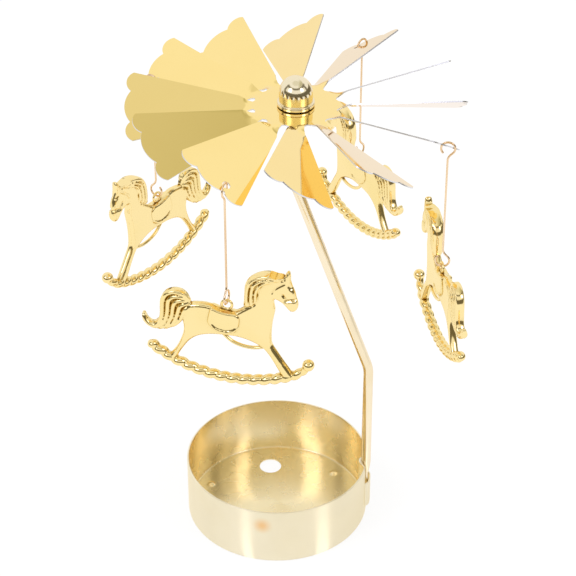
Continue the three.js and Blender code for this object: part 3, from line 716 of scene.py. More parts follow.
def sweep(
    path: np.ndarray, normal: np.ndarray, sides: int, radius: Callable[[np.ndarray, np.ndarray], np.ndarray],
) -> np.ndarray:
    """Rings round a path that lies in one plane.

    Args:
        path: the path's points.
        normal: the normal of its plane.
        sides: points in each ring.
        radius: gives the radius from the way along the path and the angle round it.

    Returns:
        The rings, as rows of points.
    """
    steps = np.diff(path, axis=0)
    way = np.concatenate([[0.0], np.cumsum(np.linalg.norm(steps, axis=1))])
    along = np.gradient(path, way, axis=0)
    along /= np.linalg.norm(along, axis=1, keepdims=True)
    across = np.cross(normal, along)
    angles = (np.arange(sides) / sides + 0.25) * FULL_TURN
    reach = radius(way[:, None], angles[None, :]) * np.ones((len(path), sides))
    sideways = across[:, None, :] * (reach * np.cos(angles))[..., None]
    upwards = normal[None, None, :] * (reach * np.sin(angles))[..., None]
    return path[:, None, :] + sideways + upwards


def triangulated(
    loops: Sequence[np.ndarray], points: np.ndarray, snap: float,
) -> tuple[np.ndarray, np.ndarray, np.ndarray]:
    """Fills the plan between closed loops and further points with triangles.

    Args:
        loops: closed loops of points, whose edges are kept.
        points: further points.
        snap: points nearer than this are one corner.

    Returns:
        The corners, the triangles, and for each loop which triangles lie inside it.
    """
    edges: list[Face] = []
    start = 0
    for loop in loops:
        count = len(loop)
        edges += [(start + step, start + (step + 1) % count) for step in range(count)]
        start += count
    spots = [Vector(spot) for spot in np.concatenate([*loops, points])]
    made = delaunay_2d_cdt(spots, edges, [], 0, snap)
    corners = np.array([tuple(corner) for corner in made[0]])
    triangles = np.array(made[2])
    middles = corners[triangles].mean(axis=1)
    return corners, triangles, np.array([inside(middles, loop) for loop in loops])


def filled(loops: Sequence[np.ndarray], points: np.ndarray) -> tuple[np.ndarray, list[Face]]:
    """Fills the plan inside the first loop and outside the others.

    Args:
        loops: closed loops of points that don't cross, the outer one first.
        points: further points inside, which become corners.

    Returns:
        The corners and the triangles.
    """
    corners, triangles, within = triangulated(loops, points, 1e-7)
    kept = triangles[within[0] & ~within[1:].any(axis=0)]
    return corners, [tuple(int(corner) for corner in face) for face in kept]


def inside(points: np.ndarray, loop: np.ndarray) -> np.ndarray:
    """Which points lie inside a closed loop.

    Args:
        points: rows of x and y.
        loop: the loop's corners.

    Returns:
        One truth value for each point.
    """
    x, y = points[:, None, 0], points[:, None, 1]
    ahead = np.roll(loop, -1, axis=0)
    crosses = (loop[None, :, 1] > y) != (ahead[None, :, 1] > y)
    drop = ahead[None, :, 1] - loop[None, :, 1]
    drop = np.where(drop == 0, 1e-12, drop)
    where = loop[None, :, 0] + (y - loop[None, :, 1]) * (ahead[None, :, 0] - loop[None, :, 0]) / drop
    return (crosses & (x < where)).sum(axis=1) % 2 == 1


def distance_to(points: np.ndarray, line: np.ndarray, closed: bool) -> tuple[np.ndarray, np.ndarray]:
    """How far points lie from a line.

    Args:
        points: rows of x and y.
        line: the line's points.
        closed: whether it closes on itself.

    Returns:
        The distance of each point, and the share of the line where it is nearest.
    """
    ends = np.roll(line, -1, axis=0) if closed else line[1:]
    starts = line if closed else line[:-1]
    spans = ends - starts
    squared = np.maximum((spans**2).sum(axis=1), 1e-12)
    apart = points[:, None, :] - starts[None]
    shares = np.clip((apart * spans[None]).sum(axis=2) / squared[None], 0, 1)
    gaps = np.linalg.norm(apart - shares[..., None] * spans[None], axis=2)
    nearest = gaps.argmin(axis=1)
    rows = np.arange(len(points))
    return gaps[rows, nearest], (nearest + shares[rows, nearest]) / len(starts)


# Product


@dataclass
class Cup:
    """The drawn tealight cup with the socket that is lanced in its wall.

    Attributes:
        corner: radius of the bend between the floor and the wall.
        hole_reach: how far from the cup's axis the hole in its floor is.
        hole_angle: where round that axis it is, in degrees.
        pip_sharpness: how wide a pip's top is, as a share of its radius.
        pip_ring_shares: the first and the last ring of points in a pip, as shares of its radius.
        slit_height: of the middle of the slit between the groove and the strap.
        strap_rise: how far the strap under the slit is pressed outwards.
        groove_depth: how far the wall over the slit is pressed inwards.
        fine_step: between the wall's columns at the socket.
        coarse_step: between them elsewhere.
        wall_rows: rows of points under the strap, in the strap and over the slit.
        floor_rings: radii of the rings of points that keep the floor flat.
    """

    radius: float = 30.0
    height: float = 20.8
    wall: float = 0.5
    corner: float = 1.2
    hole_radius: float = 3.7
    hole_reach: float = 19.3
    hole_angle: float = 103.5
    hole_sides: int = 56
    pip_count: int = 3
    pip_radius: float = 2.0
    pip_rise: float = 0.8
    pip_sharpness: float = 0.55
    pip_reach: float = 24.5
    pip_first_angle: float = 44.0
    pip_ring_shares: Point = (0.1, 1.08)
    pip_rings: int = 9
    pip_sides: int = 20
    slit_height: float = 14.0
    slit_gap: float = 0.3
    strap_foot: float = 3.8
    strap_rise: float = 1.25
    strap_half_width: float = 3.8
    groove_depth: float = 2.3
    groove_half_width: float = 4.3
    fine_step: float = 0.25
    coarse_step: float = 1.2
    corner_rows: int = 6
    wall_rows: tuple[int, int, int] = (4, 9, 8)
    floor_rings: tuple[float, ...] = (4.0, 9.0, 14.0)
    floor_ring_sides: int = 51
    floor_ring_step: float = 7.0
    floor_ring_turn: float = 3.0
    broken_edge: float = 0.2

    @property
    def slit(self) -> Point:
        """Heights of the slit's two edges."""
        return self.slit_height - self.slit_gap / 2, self.slit_height + self.slit_gap / 2

    @property
    def foot(self) -> Point:
        """Heights of both edges of the cut under the strap."""
        return self.strap_foot, self.strap_foot + self.slit_gap

    def angles(self) -> np.ndarray:
        """The wall's columns: close together at the socket, wider elsewhere.

        Returns:
            Their angles in radians, from one side of the socket round to the other.
        """
        socket = (self.groove_half_width + 4 * self.fine_step) / self.radius
        fine = np.linspace(-socket, socket, round(2 * socket * self.radius / self.fine_step) + 1)
        rest = FULL_TURN - 2 * socket
        coarse = np.linspace(socket, socket + rest, round(rest * self.radius / self.coarse_step) + 1)
        return np.concatenate([fine, coarse[1:-1]])

    def across(self, angles: np.ndarray) -> np.ndarray:
        """How far round the wall its columns are from the middle of the socket."""
        return np.abs((angles + math.pi) % FULL_TURN - math.pi) * self.radius

    def swell(self, angles: np.ndarray, height: float) -> np.ndarray:
        """How far the wall is pressed outwards.

        Args:
            angles: of the wall's columns.
            height: over the table.

        Returns:
            The press of each column in millimetres, negative inwards.
        """
        across = self.across(angles)
        if height > self.slit_height:
            share = np.minimum(across / self.groove_half_width, 1)
            return -self.groove_depth * (1 + np.cos(math.pi * share)) / 2
        if height > self.strap_foot:
            return self.strap_rise * (1 - np.minimum(across / self.strap_half_width, 1) ** 4)
        return np.zeros_like(across)

    def rows(self) -> list[Point]:
        """The wall's rows.

        Returns:
            The reach and the height of each, from the floor up.
        """
        below, between, above = self.wall_rows
        heights = [
            *np.linspace(self.corner, self.foot[0], below), *np.linspace(self.foot[1], self.slit[0], between),
            *np.linspace(self.slit[1], self.height, above),
        ]
        rows = [
            (self.radius - self.corner + self.corner * math.sin(bend), self.corner * (1 - math.cos(bend)))
            for bend in np.linspace(0, math.pi / 2, self.corner_rows)[:-1]
        ]
        return rows + [(self.radius, float(height)) for height in heights]

    def wall_faces(self) -> list[Face]:
        """The wall's faces.

        Returns:
            The faces, without those that the slit and the cut under the strap take away.
        """
        angles = self.angles()
        count = len(angles)
        arcs = self.across(angles)
        cuts = ((self.slit[0], self.groove_half_width), (self.foot[0], self.strap_half_width))
        faces: list[Face] = []
        for row, (_, height) in enumerate(self.rows()[:-1]):
            cut = max((half for start, half in cuts if math.isclose(height, start)), default=0.0)
            for column in range(count):
                after = (column + 1) % count
                if (arcs[column] + arcs[after]) / 2 >= cut:
                    a, b = row * count + column, row * count + after
                    faces.append((a, b, b + count, a + count))
        return faces

    def build(self) -> None:
        """Builds the cup as one sheet and gives it its thickness."""
        angles = self.angles()
        rings = []
        for reach, height in self.rows():
            spread = reach + self.swell(angles, height)
            flat = np.full(len(angles), height)
            rings.append(np.stack([spread * np.cos(angles), spread * np.sin(angles), flat], axis=1))
        skin = Skin()
        skin.add(np.concatenate(rings), self.wall_faces())
        skin.add(*self.floor(rings[0][:, :2]))
        shell = skin.build("cup_shell", [SATIN_OUTSIDE.material(), SATIN_INSIDE.material()], weld=0.01)
        thicken(shell, self.wall, offset=-1, broken=self.broken_edge, far_finish=1)
        place(shell, "stand", "cup", "cup")

    def floor(self, rim: np.ndarray) -> tuple[np.ndarray, list[Face]]:
        """The floor with its hole and pressed pips.

        Args:
            rim: where the floor meets the wall's corner.

        Returns:
            Its points and its faces, which look down.
        """
        hole = circle(polar(self.hole_reach, self.hole_angle), self.hole_radius, self.hole_sides)
        spots = [
            np.array([
                polar(reach, self.floor_ring_step * step + self.floor_ring_turn * reach)
                for step in range(self.floor_ring_sides)
            ])
            for reach in self.floor_rings
        ]
        middles = [
            polar(self.pip_reach, self.pip_first_angle + 360 / self.pip_count * index)
            for index in range(self.pip_count)
        ]
        for middle in middles:
            for share in np.linspace(*self.pip_ring_shares, self.pip_rings):
                spots.append(circle(middle, self.pip_radius * share, self.pip_sides))
        corners, faces = filled([rim, hole], np.concatenate(spots))
        heights = np.zeros(len(corners))
        for middle in middles:
            away = np.linalg.norm(corners - middle, axis=1)
            near = np.maximum(1 - (away / self.pip_radius) ** 2, 0)
            heights += self.pip_rise * near**2 * np.exp(-((away / self.pip_radius / self.pip_sharpness) ** 2))
        points = np.column_stack([corners, heights])
        return points, [face[::-1] for face in faces]


@dataclass
class Arm:
    """The bent rod with the flattened tail that stands in the cup's socket.

    Attributes:
        cup: the cup that holds it.
        axis_x: where the wheel's axis stands.
        hub_height: of the middle of the wheel's sheet.
        clearance: between the tail and the socket.
        tail_squareness: of the tail's section, where 1 is an oval and less is squarer.
        foot_chamfer: height over the foot and share of the width of each ring of its chamfer.
        tail_shoulder: where the flat tail ends.
        low_bend_height: of the corner where the rod bends inwards.
        high_bend_height: of the corner where it bends back to upright.
        tip_over_hub: height of its point over the wheel's sheet.
        tail_rise: from the foot to the tail's first full ring.
    """

    cup: Cup
    axis_x: float
    hub_height: float
    clearance: float = 0.3
    rod_radius: float = 1.6
    tail_thickness: float = 1.0
    tail_width: float = 3.6
    tail_squareness: float = 0.5
    foot_chamfer: tuple[Point, ...] = ((0.0, 0.62), (0.12, 0.82), (0.3, 0.95), (0.6, 1.0))
    tail_shoulder: float = 17.0
    shoulder_length: float = 3.6
    low_bend_height: float = 58.7
    high_bend_height: float = 125.5
    bend_radius: float = 12.0
    point_length: float = 4.5
    point_radius: float = 0.25
    tip_over_hub: float = 8.75
    tail_rise: float = 2.0
    tail_rings: int = 5
    shoulder_rings: int = 10
    bend_rings: int = 12
    point_rings: int = 6
    sides: int = 32

    def build(self) -> None:
        """Builds the rod from the tail to the point."""
        skin = Skin()
        skin.add_rings(np.array([*self.tail(), *self.rod()]))
        rod = skin.build("arm_rod", [ARM_GOLD.material()], crease=60.0)
        place(rod, "stand", "arm", "arm")

    @property
    def rod_reach(self) -> float:
        """How far from the cup's axis the upright rod stands."""
        return self.cup.radius - self.cup.groove_depth + self.clearance + self.rod_radius

    def ring(
        self, reach: float, height: float, half_thickness: float, half_width: float, lean: float = 0.0,
        squareness: float = 1.0,
    ) -> np.ndarray:
        """One ring of the rod.

        Args:
            reach: of its middle, along X.
            height: of its middle.
            half_thickness: across the wall.
            half_width: along the wall.
            lean: of the rod at this ring, in radians.
            squareness: 1 is an oval, and less is squarer.

        Returns:
            Its points.
        """
        angles = np.arange(self.sides) * FULL_TURN / self.sides
        across = half_thickness * np.sign(np.cos(angles)) * np.abs(np.cos(angles)) ** squareness
        side = half_width * np.sign(np.sin(angles)) * np.abs(np.sin(angles)) ** squareness
        return np.stack([reach + across * math.cos(lean), side, height + across * math.sin(lean)], axis=1)

    def tail(self) -> list[np.ndarray]:
        """The flat tail and the shoulder over it.

        Returns:
            Their rings from the foot up.
        """
        strap_inside = self.cup.radius + self.cup.strap_rise - self.cup.wall
        reach = strap_inside - self.clearance - self.tail_thickness / 2
        foot = self.cup.strap_foot + self.clearance
        flat, wide, square = self.tail_thickness / 2, self.tail_width / 2, self.tail_squareness
        rings = [
            self.ring(reach, foot + rise, flat * share, wide * share, 0, square)
            for rise, share in self.foot_chamfer
        ]
        for height in np.linspace(foot + self.tail_rise, self.tail_shoulder, self.tail_rings):
            rings.append(self.ring(reach, height, flat, wide, 0, square))
        for share in np.linspace(1 / self.shoulder_rings, 1, self.shoulder_rings):
            outer = np.interp(math.sqrt(share), [0, 1], [reach + flat, self.rod_reach + self.rod_radius])
            inner = np.interp(share**2, [0, 1], [reach - flat, self.rod_reach - self.rod_radius])
            width = np.interp(share, [0, 1], [wide, self.rod_radius])
            height = self.tail_shoulder + self.shoulder_length * share
            middle, half = (outer + inner) / 2, (outer - inner) / 2
            rings.append(self.ring(middle, height, half, width, 0, square + (1 - square) * share))
        return rings

    def rod(self) -> list[np.ndarray]:
        """The round rod with its two bends and its point.

        Returns:
            Its rings from the shoulder up.
        """
        low = np.array([self.rod_reach, self.low_bend_height])
        high = np.array([self.axis_x, self.high_bend_height])
        lean = math.atan2(low[0] - high[0], high[1] - low[1])
        set_back = self.bend_radius * math.tan(lean / 2)
        spots: list[Place] = []
        for corner, side, start in ((low, -1, 0.0), (high, 1, lean)):
            into = np.array([-math.sin(start), math.cos(start)])
            begin = corner - into * set_back
            middle = begin + side * self.bend_radius * np.array([math.cos(start), math.sin(start)])
            for share in np.linspace(0, 1, self.bend_rings):
                angle = start - side * lean * share
                arm = np.array([math.cos(angle), math.sin(angle)])
                spots.append((*(middle - side * self.bend_radius * arm), angle))
        rings = [self.ring(x, z, self.rod_radius, self.rod_radius, angle) for x, z, angle in spots]
        tip = self.hub_height + self.tip_over_hub
        for share in np.linspace(0, 1, self.point_rings):
            radius = np.interp(share, [0, 1], [self.rod_radius, self.point_radius])
            height = tip - self.point_length + (self.point_length - self.point_radius) * share
            rings.append(self.ring(self.axis_x, height, radius, radius))
        rings.append(self.ring(self.axis_x, tip, self.point_radius / 2, self.point_radius / 2))
        return rings


@dataclass
class FanWheel:
    """The stamped wheel: a flat hub and twelve scalloped blades, each twisted at its neck.

    Attributes:
        axis_x: where its axis stands.
        hub_height: of the middle of its sheet.
        pitch: full twist of a blade, in degrees.
        phase: where the first blade points, in degrees.
        corner_reach: how far along a blade its two corners are, from the wheel's axis.
        lobe_join_reach: the same for the two points where the scallops of its tip meet.
        big_lobe_rise: of the middle scallop over its chord.
        small_lobe_rise: of the outer ones.
        slot_start: where the slot between two blades starts, from the wheel's axis.
        slot_end: where the neck beside it ends.
        eye_offset: of an eye, from the blade's middle towards its lowered edge.
        eye_blades: blades with an eye, in the order of the hangers.
        neck_shares: at shares of the slot's length, shares of its width and of the full twist.
        twist_ease: how softly the twist starts and ends, from 0 to 1.
        hub_rings: radii of the rings of points in the hub.
        root_steps: rows of points after the neck, each so much further out than its end.
        grid_along: start, end and step of the grid of points in a blade, along it.
        grid_across: the same across it.
        edge_gap: between those points and the blade's outline.
        eye_gap: between them and its eye.
    """

    axis_x: float
    hub_height: float
    sheet: float = 0.4
    blade_count: int = 12
    pitch: float = 32.8
    phase: float = 6.8
    corner_reach: float = 48.0
    corner_half_width: float = 11.4
    lobe_join_reach: float = 48.8
    lobe_join_half_width: float = 5.2
    big_lobe_rise: float = 1.85
    small_lobe_rise: float = 1.75
    slot_start: float = 12.4
    slot_end: float = 17.0
    slot_half_width: float = 1.55
    bore_radius: float = 4.5
    eye_radius: float = 1.25
    eye_reach: float = 46.4
    eye_offset: float = 4.2
    eye_sides: int = 32
    eye_blades: tuple[int, ...] = (8, 5, 2, 11)
    neck_shares: tuple[tuple[float, float, float], ...] = (
        (0.0, 0.0, 0.0), (0.1, 0.7, 0.0), (0.38, 1.0, 0.4), (0.7, 0.92, 0.85), (1.0, 0.68, 1.0),
    )
    neck_start: float = 0.1
    neck_rows: int = 14
    neck_columns: int = 9
    twist_ease: float = 0.4
    lobe_steps: tuple[int, int] = (18, 24)
    bore_sides: int = 64
    hub_rings: tuple[float, ...] = (5.6, 7.5, 9.5, 11.2)
    hub_sides: int = 48
    root_steps: tuple[float, ...] = (0.03, 0.07, 0.12)
    grid_along: tuple[float, ...] = (20.0, 47.0, 3.0)
    grid_across: tuple[float, ...] = (-9.0, 9.1, 3.0)
    edge_gap: float = 0.12
    eye_gap: float = 0.3

    def neck(self, along: float) -> tuple[np.ndarray, float]:
        """The neck's edge beside a slot, and how far the sheet is twisted there.

        Args:
            along: share of the slot's length.

        Returns:
            The edge, along and across the blade, and the share of the full twist.
        """
        shares = np.array(self.neck_shares)
        width = float(np.interp(along, shares[:, 0], shares[:, 1]))
        twist = float(np.interp(along, shares[:, 0], shares[:, 2]))
        half_sector = math.pi / self.blade_count
        radius = self.slot_start + (self.slot_end - self.slot_start) * along
        cut = self.slot_half_width * width
        edge = np.array([
            radius * math.cos(half_sector) + cut * math.sin(half_sector),
            radius * math.sin(half_sector) - cut * math.cos(half_sector),
        ])
        eased = twist * twist * (3 - 2 * twist)
        return edge, eased * self.twist_ease + twist * (1 - self.twist_ease)

    def lobe(self, start: np.ndarray, end: np.ndarray, rise: float, steps: int) -> np.ndarray:
        """A round lobe from one corner to the next.

        Args:
            start: the first corner.
            end: the last corner, which is left out.
            rise: of the lobe over its chord.
            steps: how many points it has.

        Returns:
            The points.
        """
        chord = end - start
        half = np.linalg.norm(chord) / 2
        radius = (half**2 + rise**2) / (2 * rise)
        outwards = np.array([chord[1], -chord[0]]) / (2 * half)
        middle = (start + end) / 2 + outwards * (rise - radius)
        sweep_angle = 2 * math.asin(half / radius)
        turns = sweep_angle * (np.arange(steps) / steps - 0.5)
        arc = np.stack([
            outwards[0] * np.cos(turns) - outwards[1] * np.sin(turns),
            outwards[0] * np.sin(turns) + outwards[1] * np.cos(turns),
        ], axis=1)
        return middle + radius * arc

    def tip(self) -> np.ndarray:
        """The scalloped tip of a blade.

        Returns:
            Its points, from the raised corner to the lowered one.
        """
        corner, join = self.corner_half_width, self.lobe_join_half_width
        corners = np.array([
            (self.corner_reach, -corner), (self.lobe_join_reach, -join), (self.lobe_join_reach, join),
            (self.corner_reach, corner),
        ])
        small, big = self.lobe_steps
        return np.concatenate([
            self.lobe(corners[0], corners[1], self.small_lobe_rise, small),
            self.lobe(corners[1], corners[2], self.big_lobe_rise, big),
            self.lobe(corners[2], corners[3], self.small_lobe_rise, small),
            corners[3][None],
        ])

    def spot(self, blade: int, flat: np.ndarray, twist: np.ndarray) -> np.ndarray:
        """Puts points of a blade in their places.

        Args:
            blade: the blade's number.
            flat: the points, along and across the blade.
            twist: share of the full twist at each point.

        Returns:
            The places.
        """
        heading = math.radians(self.phase + 360 / self.blade_count * blade)
        out = np.array([math.cos(heading), math.sin(heading), 0])
        around = np.array([-math.sin(heading), math.cos(heading), 0])
        angle = math.radians(self.pitch) * twist
        middle = np.array([self.axis_x, 0, self.hub_height])
        return (
            middle + flat[:, :1] * out + (flat[:, 1] * np.cos(angle))[:, None] * around
            - (flat[:, 1] * np.sin(angle))[:, None] * UP
        )

    def build(self) -> None:
        """Builds the hub and the blades as one sheet and gives it its thickness."""
        skin = Skin()
        half_sector = math.pi / self.blade_count
        notch = self.slot_start * np.array([math.cos(half_sector), -math.sin(half_sector)])
        rim: list[np.ndarray] = []
        for blade in range(self.blade_count):
            root, end = self.add_neck(skin, blade)
            self.add_blade(skin, blade, end)
            sector = math.radians(360 / self.blade_count * blade)
            turn = np.array([[math.cos(sector), math.sin(sector)], [-math.sin(sector), math.cos(sector)]])
            rim += [notch @ turn, *(root @ turn)]
        bore = circle((0, 0), self.bore_radius, self.bore_sides)
        spots = [circle((0, 0), radius, self.hub_sides) for radius in self.hub_rings]
        corners, faces = filled([np.array(rim), bore], np.concatenate(spots))
        skin.add(self.spot(0, corners, np.zeros(len(corners))), faces)
        finishes = [MIRROR_GOLD.material(), CUT_EDGE.material()]
        wheel = skin.build("fan_blades", finishes, crease=60.0, weld=0.004)
        thicken(wheel, self.sheet, offset=0, broken=0.0, edge_finish=1)
        place(wheel, "rotor", "fan_wheel", "fan")

    def add_neck(self, skin: Skin, blade: int) -> tuple[np.ndarray, np.ndarray]:
        """Adds the twisted neck between two slots.

        Args:
            skin: what it is added to.
            blade: the blade's number.

        Returns:
            Its first and its last row of points, along and across the blade.
        """
        columns = self.neck_columns
        sides = np.linspace(-1, 1, columns)
        rows: list[np.ndarray] = []
        twists: list[np.ndarray] = []
        for along in np.linspace(self.neck_start, 1, self.neck_rows):
            edge, twist = self.neck(float(along))
            bulge = np.sqrt(np.maximum(np.hypot(*edge) ** 2 - (sides * edge[1]) ** 2, 0))
            rows.append(np.stack([bulge, sides * edge[1]], axis=1))
            twists.append(np.full(columns, twist))
        faces = [
            (corner, corner + columns, corner + columns + 1, corner + 1)
            for row in range(self.neck_rows - 1) for corner in range(row * columns, (row + 1) * columns - 1)
        ]
        skin.add(self.spot(blade, np.concatenate(rows), np.concatenate(twists)), faces)
        return rows[0], rows[-1]

    def add_blade(self, skin: Skin, blade: int, root: np.ndarray) -> None:
        """Adds the flat part of a blade, with its eye where it has one.

        Args:
            skin: what it is added to.
            blade: the blade's number.
            root: the row of points where the neck ends.
        """
        outline = np.concatenate([self.tip(), root[::-1]])
        loops = [outline]
        if blade in self.eye_blades:
            loops.append(circle((self.eye_reach, self.eye_offset), self.eye_radius, self.eye_sides))
        corners, faces = filled(loops, self.inner_points(outline, root))
        skin.add(self.spot(blade, corners, np.ones(len(corners))), faces)

    def inner_points(self, outline: np.ndarray, root: np.ndarray) -> np.ndarray:
        """Points inside a blade, so that the twist of the neck doesn't shade the flat sheet.

        Args:
            outline: the blade's outline.
            root: the row of points where the neck ends.

        Returns:
            The points.
        """
        rows = [root * (1 + share) for share in self.root_steps]
        grid = np.stack(np.meshgrid(np.arange(*self.grid_along), np.arange(*self.grid_across)), axis=2)
        spots = np.concatenate([*rows, grid.reshape(-1, 2)])
        gap, _ = distance_to(spots, outline, True)
        clear = inside(spots, outline) & (gap > self.edge_gap)
        off_eye = np.linalg.norm(spots - (self.eye_reach, self.eye_offset), axis=1)
        return spots[clear & (off_eye > self.eye_radius + self.eye_gap)]


@dataclass
class BearingCap:
    """The domed thimble in the middle of the wheel, with its flange.

    Attributes:
        shoulder: where its upright wall ends and its dome starts, over the sheet's middle.
        edge_break: width of the flange's broken edges and of the fillet over it.
        fillet: how high over the flange that fillet starts and ends.
        rim_gap: between the flange's flat rim and its rolled edge.
        wall_stretch: of the wall under its shoulder, kept apart so that the dome doesn't shade it.
        upright: how far the normal of the wall's faces leans from level at most.
    """

    axis_x: float
    hub_height: float
    sheet: float = 0.4
    clearance: float = 0.3
    radius: float = 5.0
    wall: float = 0.45
    shoulder: float = 4.5
    flange_radius: float = 5.6
    flange_height: float = 1.2
    spigot_radius: float = 4.2
    lip_radius: float = 5.0
    lip_height: float = 0.4
    edge_break: float = 0.12
    fillet: Point = (0.02, 0.14)
    rim_gap: float = 0.1
    wall_stretch: float = 0.8
    upright: float = 0.1
    dome_steps: int = 17
    roll_steps: int = 7
    sides: int = 96

    def profile(self) -> np.ndarray:
        """The section, from the inside of the dome round to its top.

        Returns:
            Radii and heights over the sheet's middle.
        """
        top = self.sheet / 2 + self.clearance
        inside_radius = self.radius - self.wall
        flange_top = top + self.flange_height
        bends = np.linspace(0, math.pi / 2, self.dome_steps)
        turns = np.array([(math.cos(bend), math.sin(bend)) for bend in bends])
        inner = turns[::-1] * inside_radius + (0.0, self.shoulder)
        outer = turns * self.radius + (0.0, self.shoulder)
        roll = self.wall / 2
        flange = [
            (self.flange_radius - roll + roll * math.cos(bend), flange_top - roll + roll * math.sin(bend))
            for bend in np.linspace(-math.pi / 2, math.pi / 2, self.roll_steps)
        ]
        return np.array([
            *inner,
            (inside_radius, flange_top),
            (self.spigot_radius - self.wall, top + self.wall),
            (self.spigot_radius - self.wall, -top - self.lip_height),
            (self.lip_radius, -top - self.lip_height),
            (self.lip_radius, -top),
            (self.spigot_radius, -top),
            (self.spigot_radius, top),
            (self.flange_radius - self.edge_break, top),
            (self.flange_radius, top + self.edge_break),
            (self.flange_radius, flange_top - 2 * roll - self.rim_gap),
            *flange[1:],
            (self.radius + self.edge_break, flange_top + self.fillet[0]),
            (self.radius, flange_top + self.fillet[1]),
            (self.radius, self.shoulder - self.wall_stretch),
            *outer,
        ])

    def build(self) -> None:
        """Builds the cap as one turned piece."""
        rings = turned(self.profile(), (self.axis_x, 0.0, self.hub_height), self.sides)
        skin = Skin()
        skin.add_rings(rings[:, ::-1], capped=False)
        finishes = [CAP_GOLD.material(), CAP_WALL_GOLD_WITH_PAINTED_REFLECTION.material()]
        cap = skin.build("cap_dome", finishes, weld=0.002)
        foot = self.hub_height + self.sheet / 2 + self.clearance + self.flange_height
        # the upright wall's faces take the deeper gold that is a painted reflection of the wheel
        for face in cap.data.polygons:
            on_wall = foot < face.center.z / MM < self.hub_height + self.shoulder
            if on_wall and abs(face.normal.z) < self.upright:
                face.material_index = 1
        place(cap, "rotor", "bearing_cap", "cap")


@dataclass
class Hanger:
    """A wire with an open hook at each end.

    Attributes:
        number: the wire's number.
        seat: the point of the blade's eye that carries it.
        forward: square to the wire's plane.
        low: the point of the charm's ring that it carries.
        aside: how far it hangs off the middle of its eye, which keeps it clear of the blade's edge.
        neck_shares: points between the straight wire and a hook, as shares of the hook's radius.
        end_rings: how wide and how far out the rings of a rounded end are, as shares.
    """

    number: int
    seat: np.ndarray
    forward: np.ndarray
    low: np.ndarray
    aside: float
    wire_radius: float = 0.325
    hook_radius: float = 2.05
    hook_drop: float = 0.5
    start_angle: float = -48.0
    end_angle: float = 226.0
    neck_shares: tuple[Point, ...] = ((0.0, 1.75), (0.17, 1.3))
    neck_spacing: float = 0.3
    hook_points: int = 30
    end_rings: tuple[Point, ...] = ((0.35, 1.0), (0.8, 0.6))
    sides: int = 14

    def hook(self, over: bool) -> np.ndarray:
        """One hook in the wire's plane.

        Args:
            over: whether it opens downwards, as the lower hook doesn't.

        Returns:
            Its points, outwards and up from its middle, from the straight wire to the open end.
        """
        turns = np.radians(np.linspace(self.start_angle, self.end_angle, self.hook_points))
        arc = self.hook_radius * np.stack([np.cos(turns), np.sin(turns)], axis=1)
        neck = self.hook_radius * np.array([(x, -y) for x, y in self.neck_shares])
        start = curve_through(np.concatenate([neck, arc[:1]]), self.neck_spacing, False)
        line = np.concatenate([start[:-1], arc])
        return line if over else line * (1, -1)

    def build(self) -> None:
        """Builds the wire from the upper hook's open end to the lower one's."""
        outward = np.cross(self.forward, UP)
        upper = self.seat - UP * self.hook_drop + self.forward * self.aside
        lower = self.low + UP * self.hook_radius + self.forward * self.aside
        top, foot = (
            middle + hook[:, :1] * outward + hook[:, 1:] * UP
            for middle, hook in ((upper, self.hook(True)), (lower, self.hook(False)))
        )
        path = np.concatenate([top[::-1], foot])
        rings = sweep(path, self.forward, self.sides, lambda way, angle: np.full(1, self.wire_radius))
        skin = Skin()
        skin.add_rings(self.rounded(rings, path))
        wire = skin.build(f"hanger_wire_{self.number}", [WIRE_GOLD.material()], crease=80.0)
        place(wire, f"hanger_body_{self.number}", f"hanger_{self.number}", "wire")

    def rounded(self, rings: np.ndarray, path: np.ndarray) -> np.ndarray:
        """Rounds both cut ends of the wire.

        Args:
            rings: the wire's rings.
            path: its middle line.

        Returns:
            The rings with smaller ones before and after them.
        """
        into = (path[1] - path[0]) / np.linalg.norm(path[1] - path[0])
        on = (path[-1] - path[-2]) / np.linalg.norm(path[-1] - path[-2])
        depth = self.wire_radius / 2
        head = [path[0] + (rings[0] - path[0]) * wide - into * depth * out for wide, out in self.end_rings]
        tail = [path[-1] + (rings[-1] - path[-1]) * wide + on * depth * out for wide, out in self.end_rings]
        return np.array([*head, *rings, *tail[::-1]])


@dataclass(frozen=True)
class Plate:
    """A raised plate of a charm.

    Attributes:
        shares: its outline, as shares of the charm's length.
        depth: from the ring's middle to its face.
        rounding: of its front edge.
    """

    shares: tuple[Point, ...]
    depth: float
    rounding: float


@dataclass(frozen=True)
class Lock:
    """A raised rounded strand on a charm, or a pressed line.

    Attributes:
        shares: its points, as shares of the charm's length.
        width: half of its width.
        foot: from the ring's middle to the strand's sides.
        rise: of the strand over its sides; below 0 it is a line that is pressed so deep.
    """

    shares: tuple[Point, ...]
    width: float
    foot: float
    rise: float


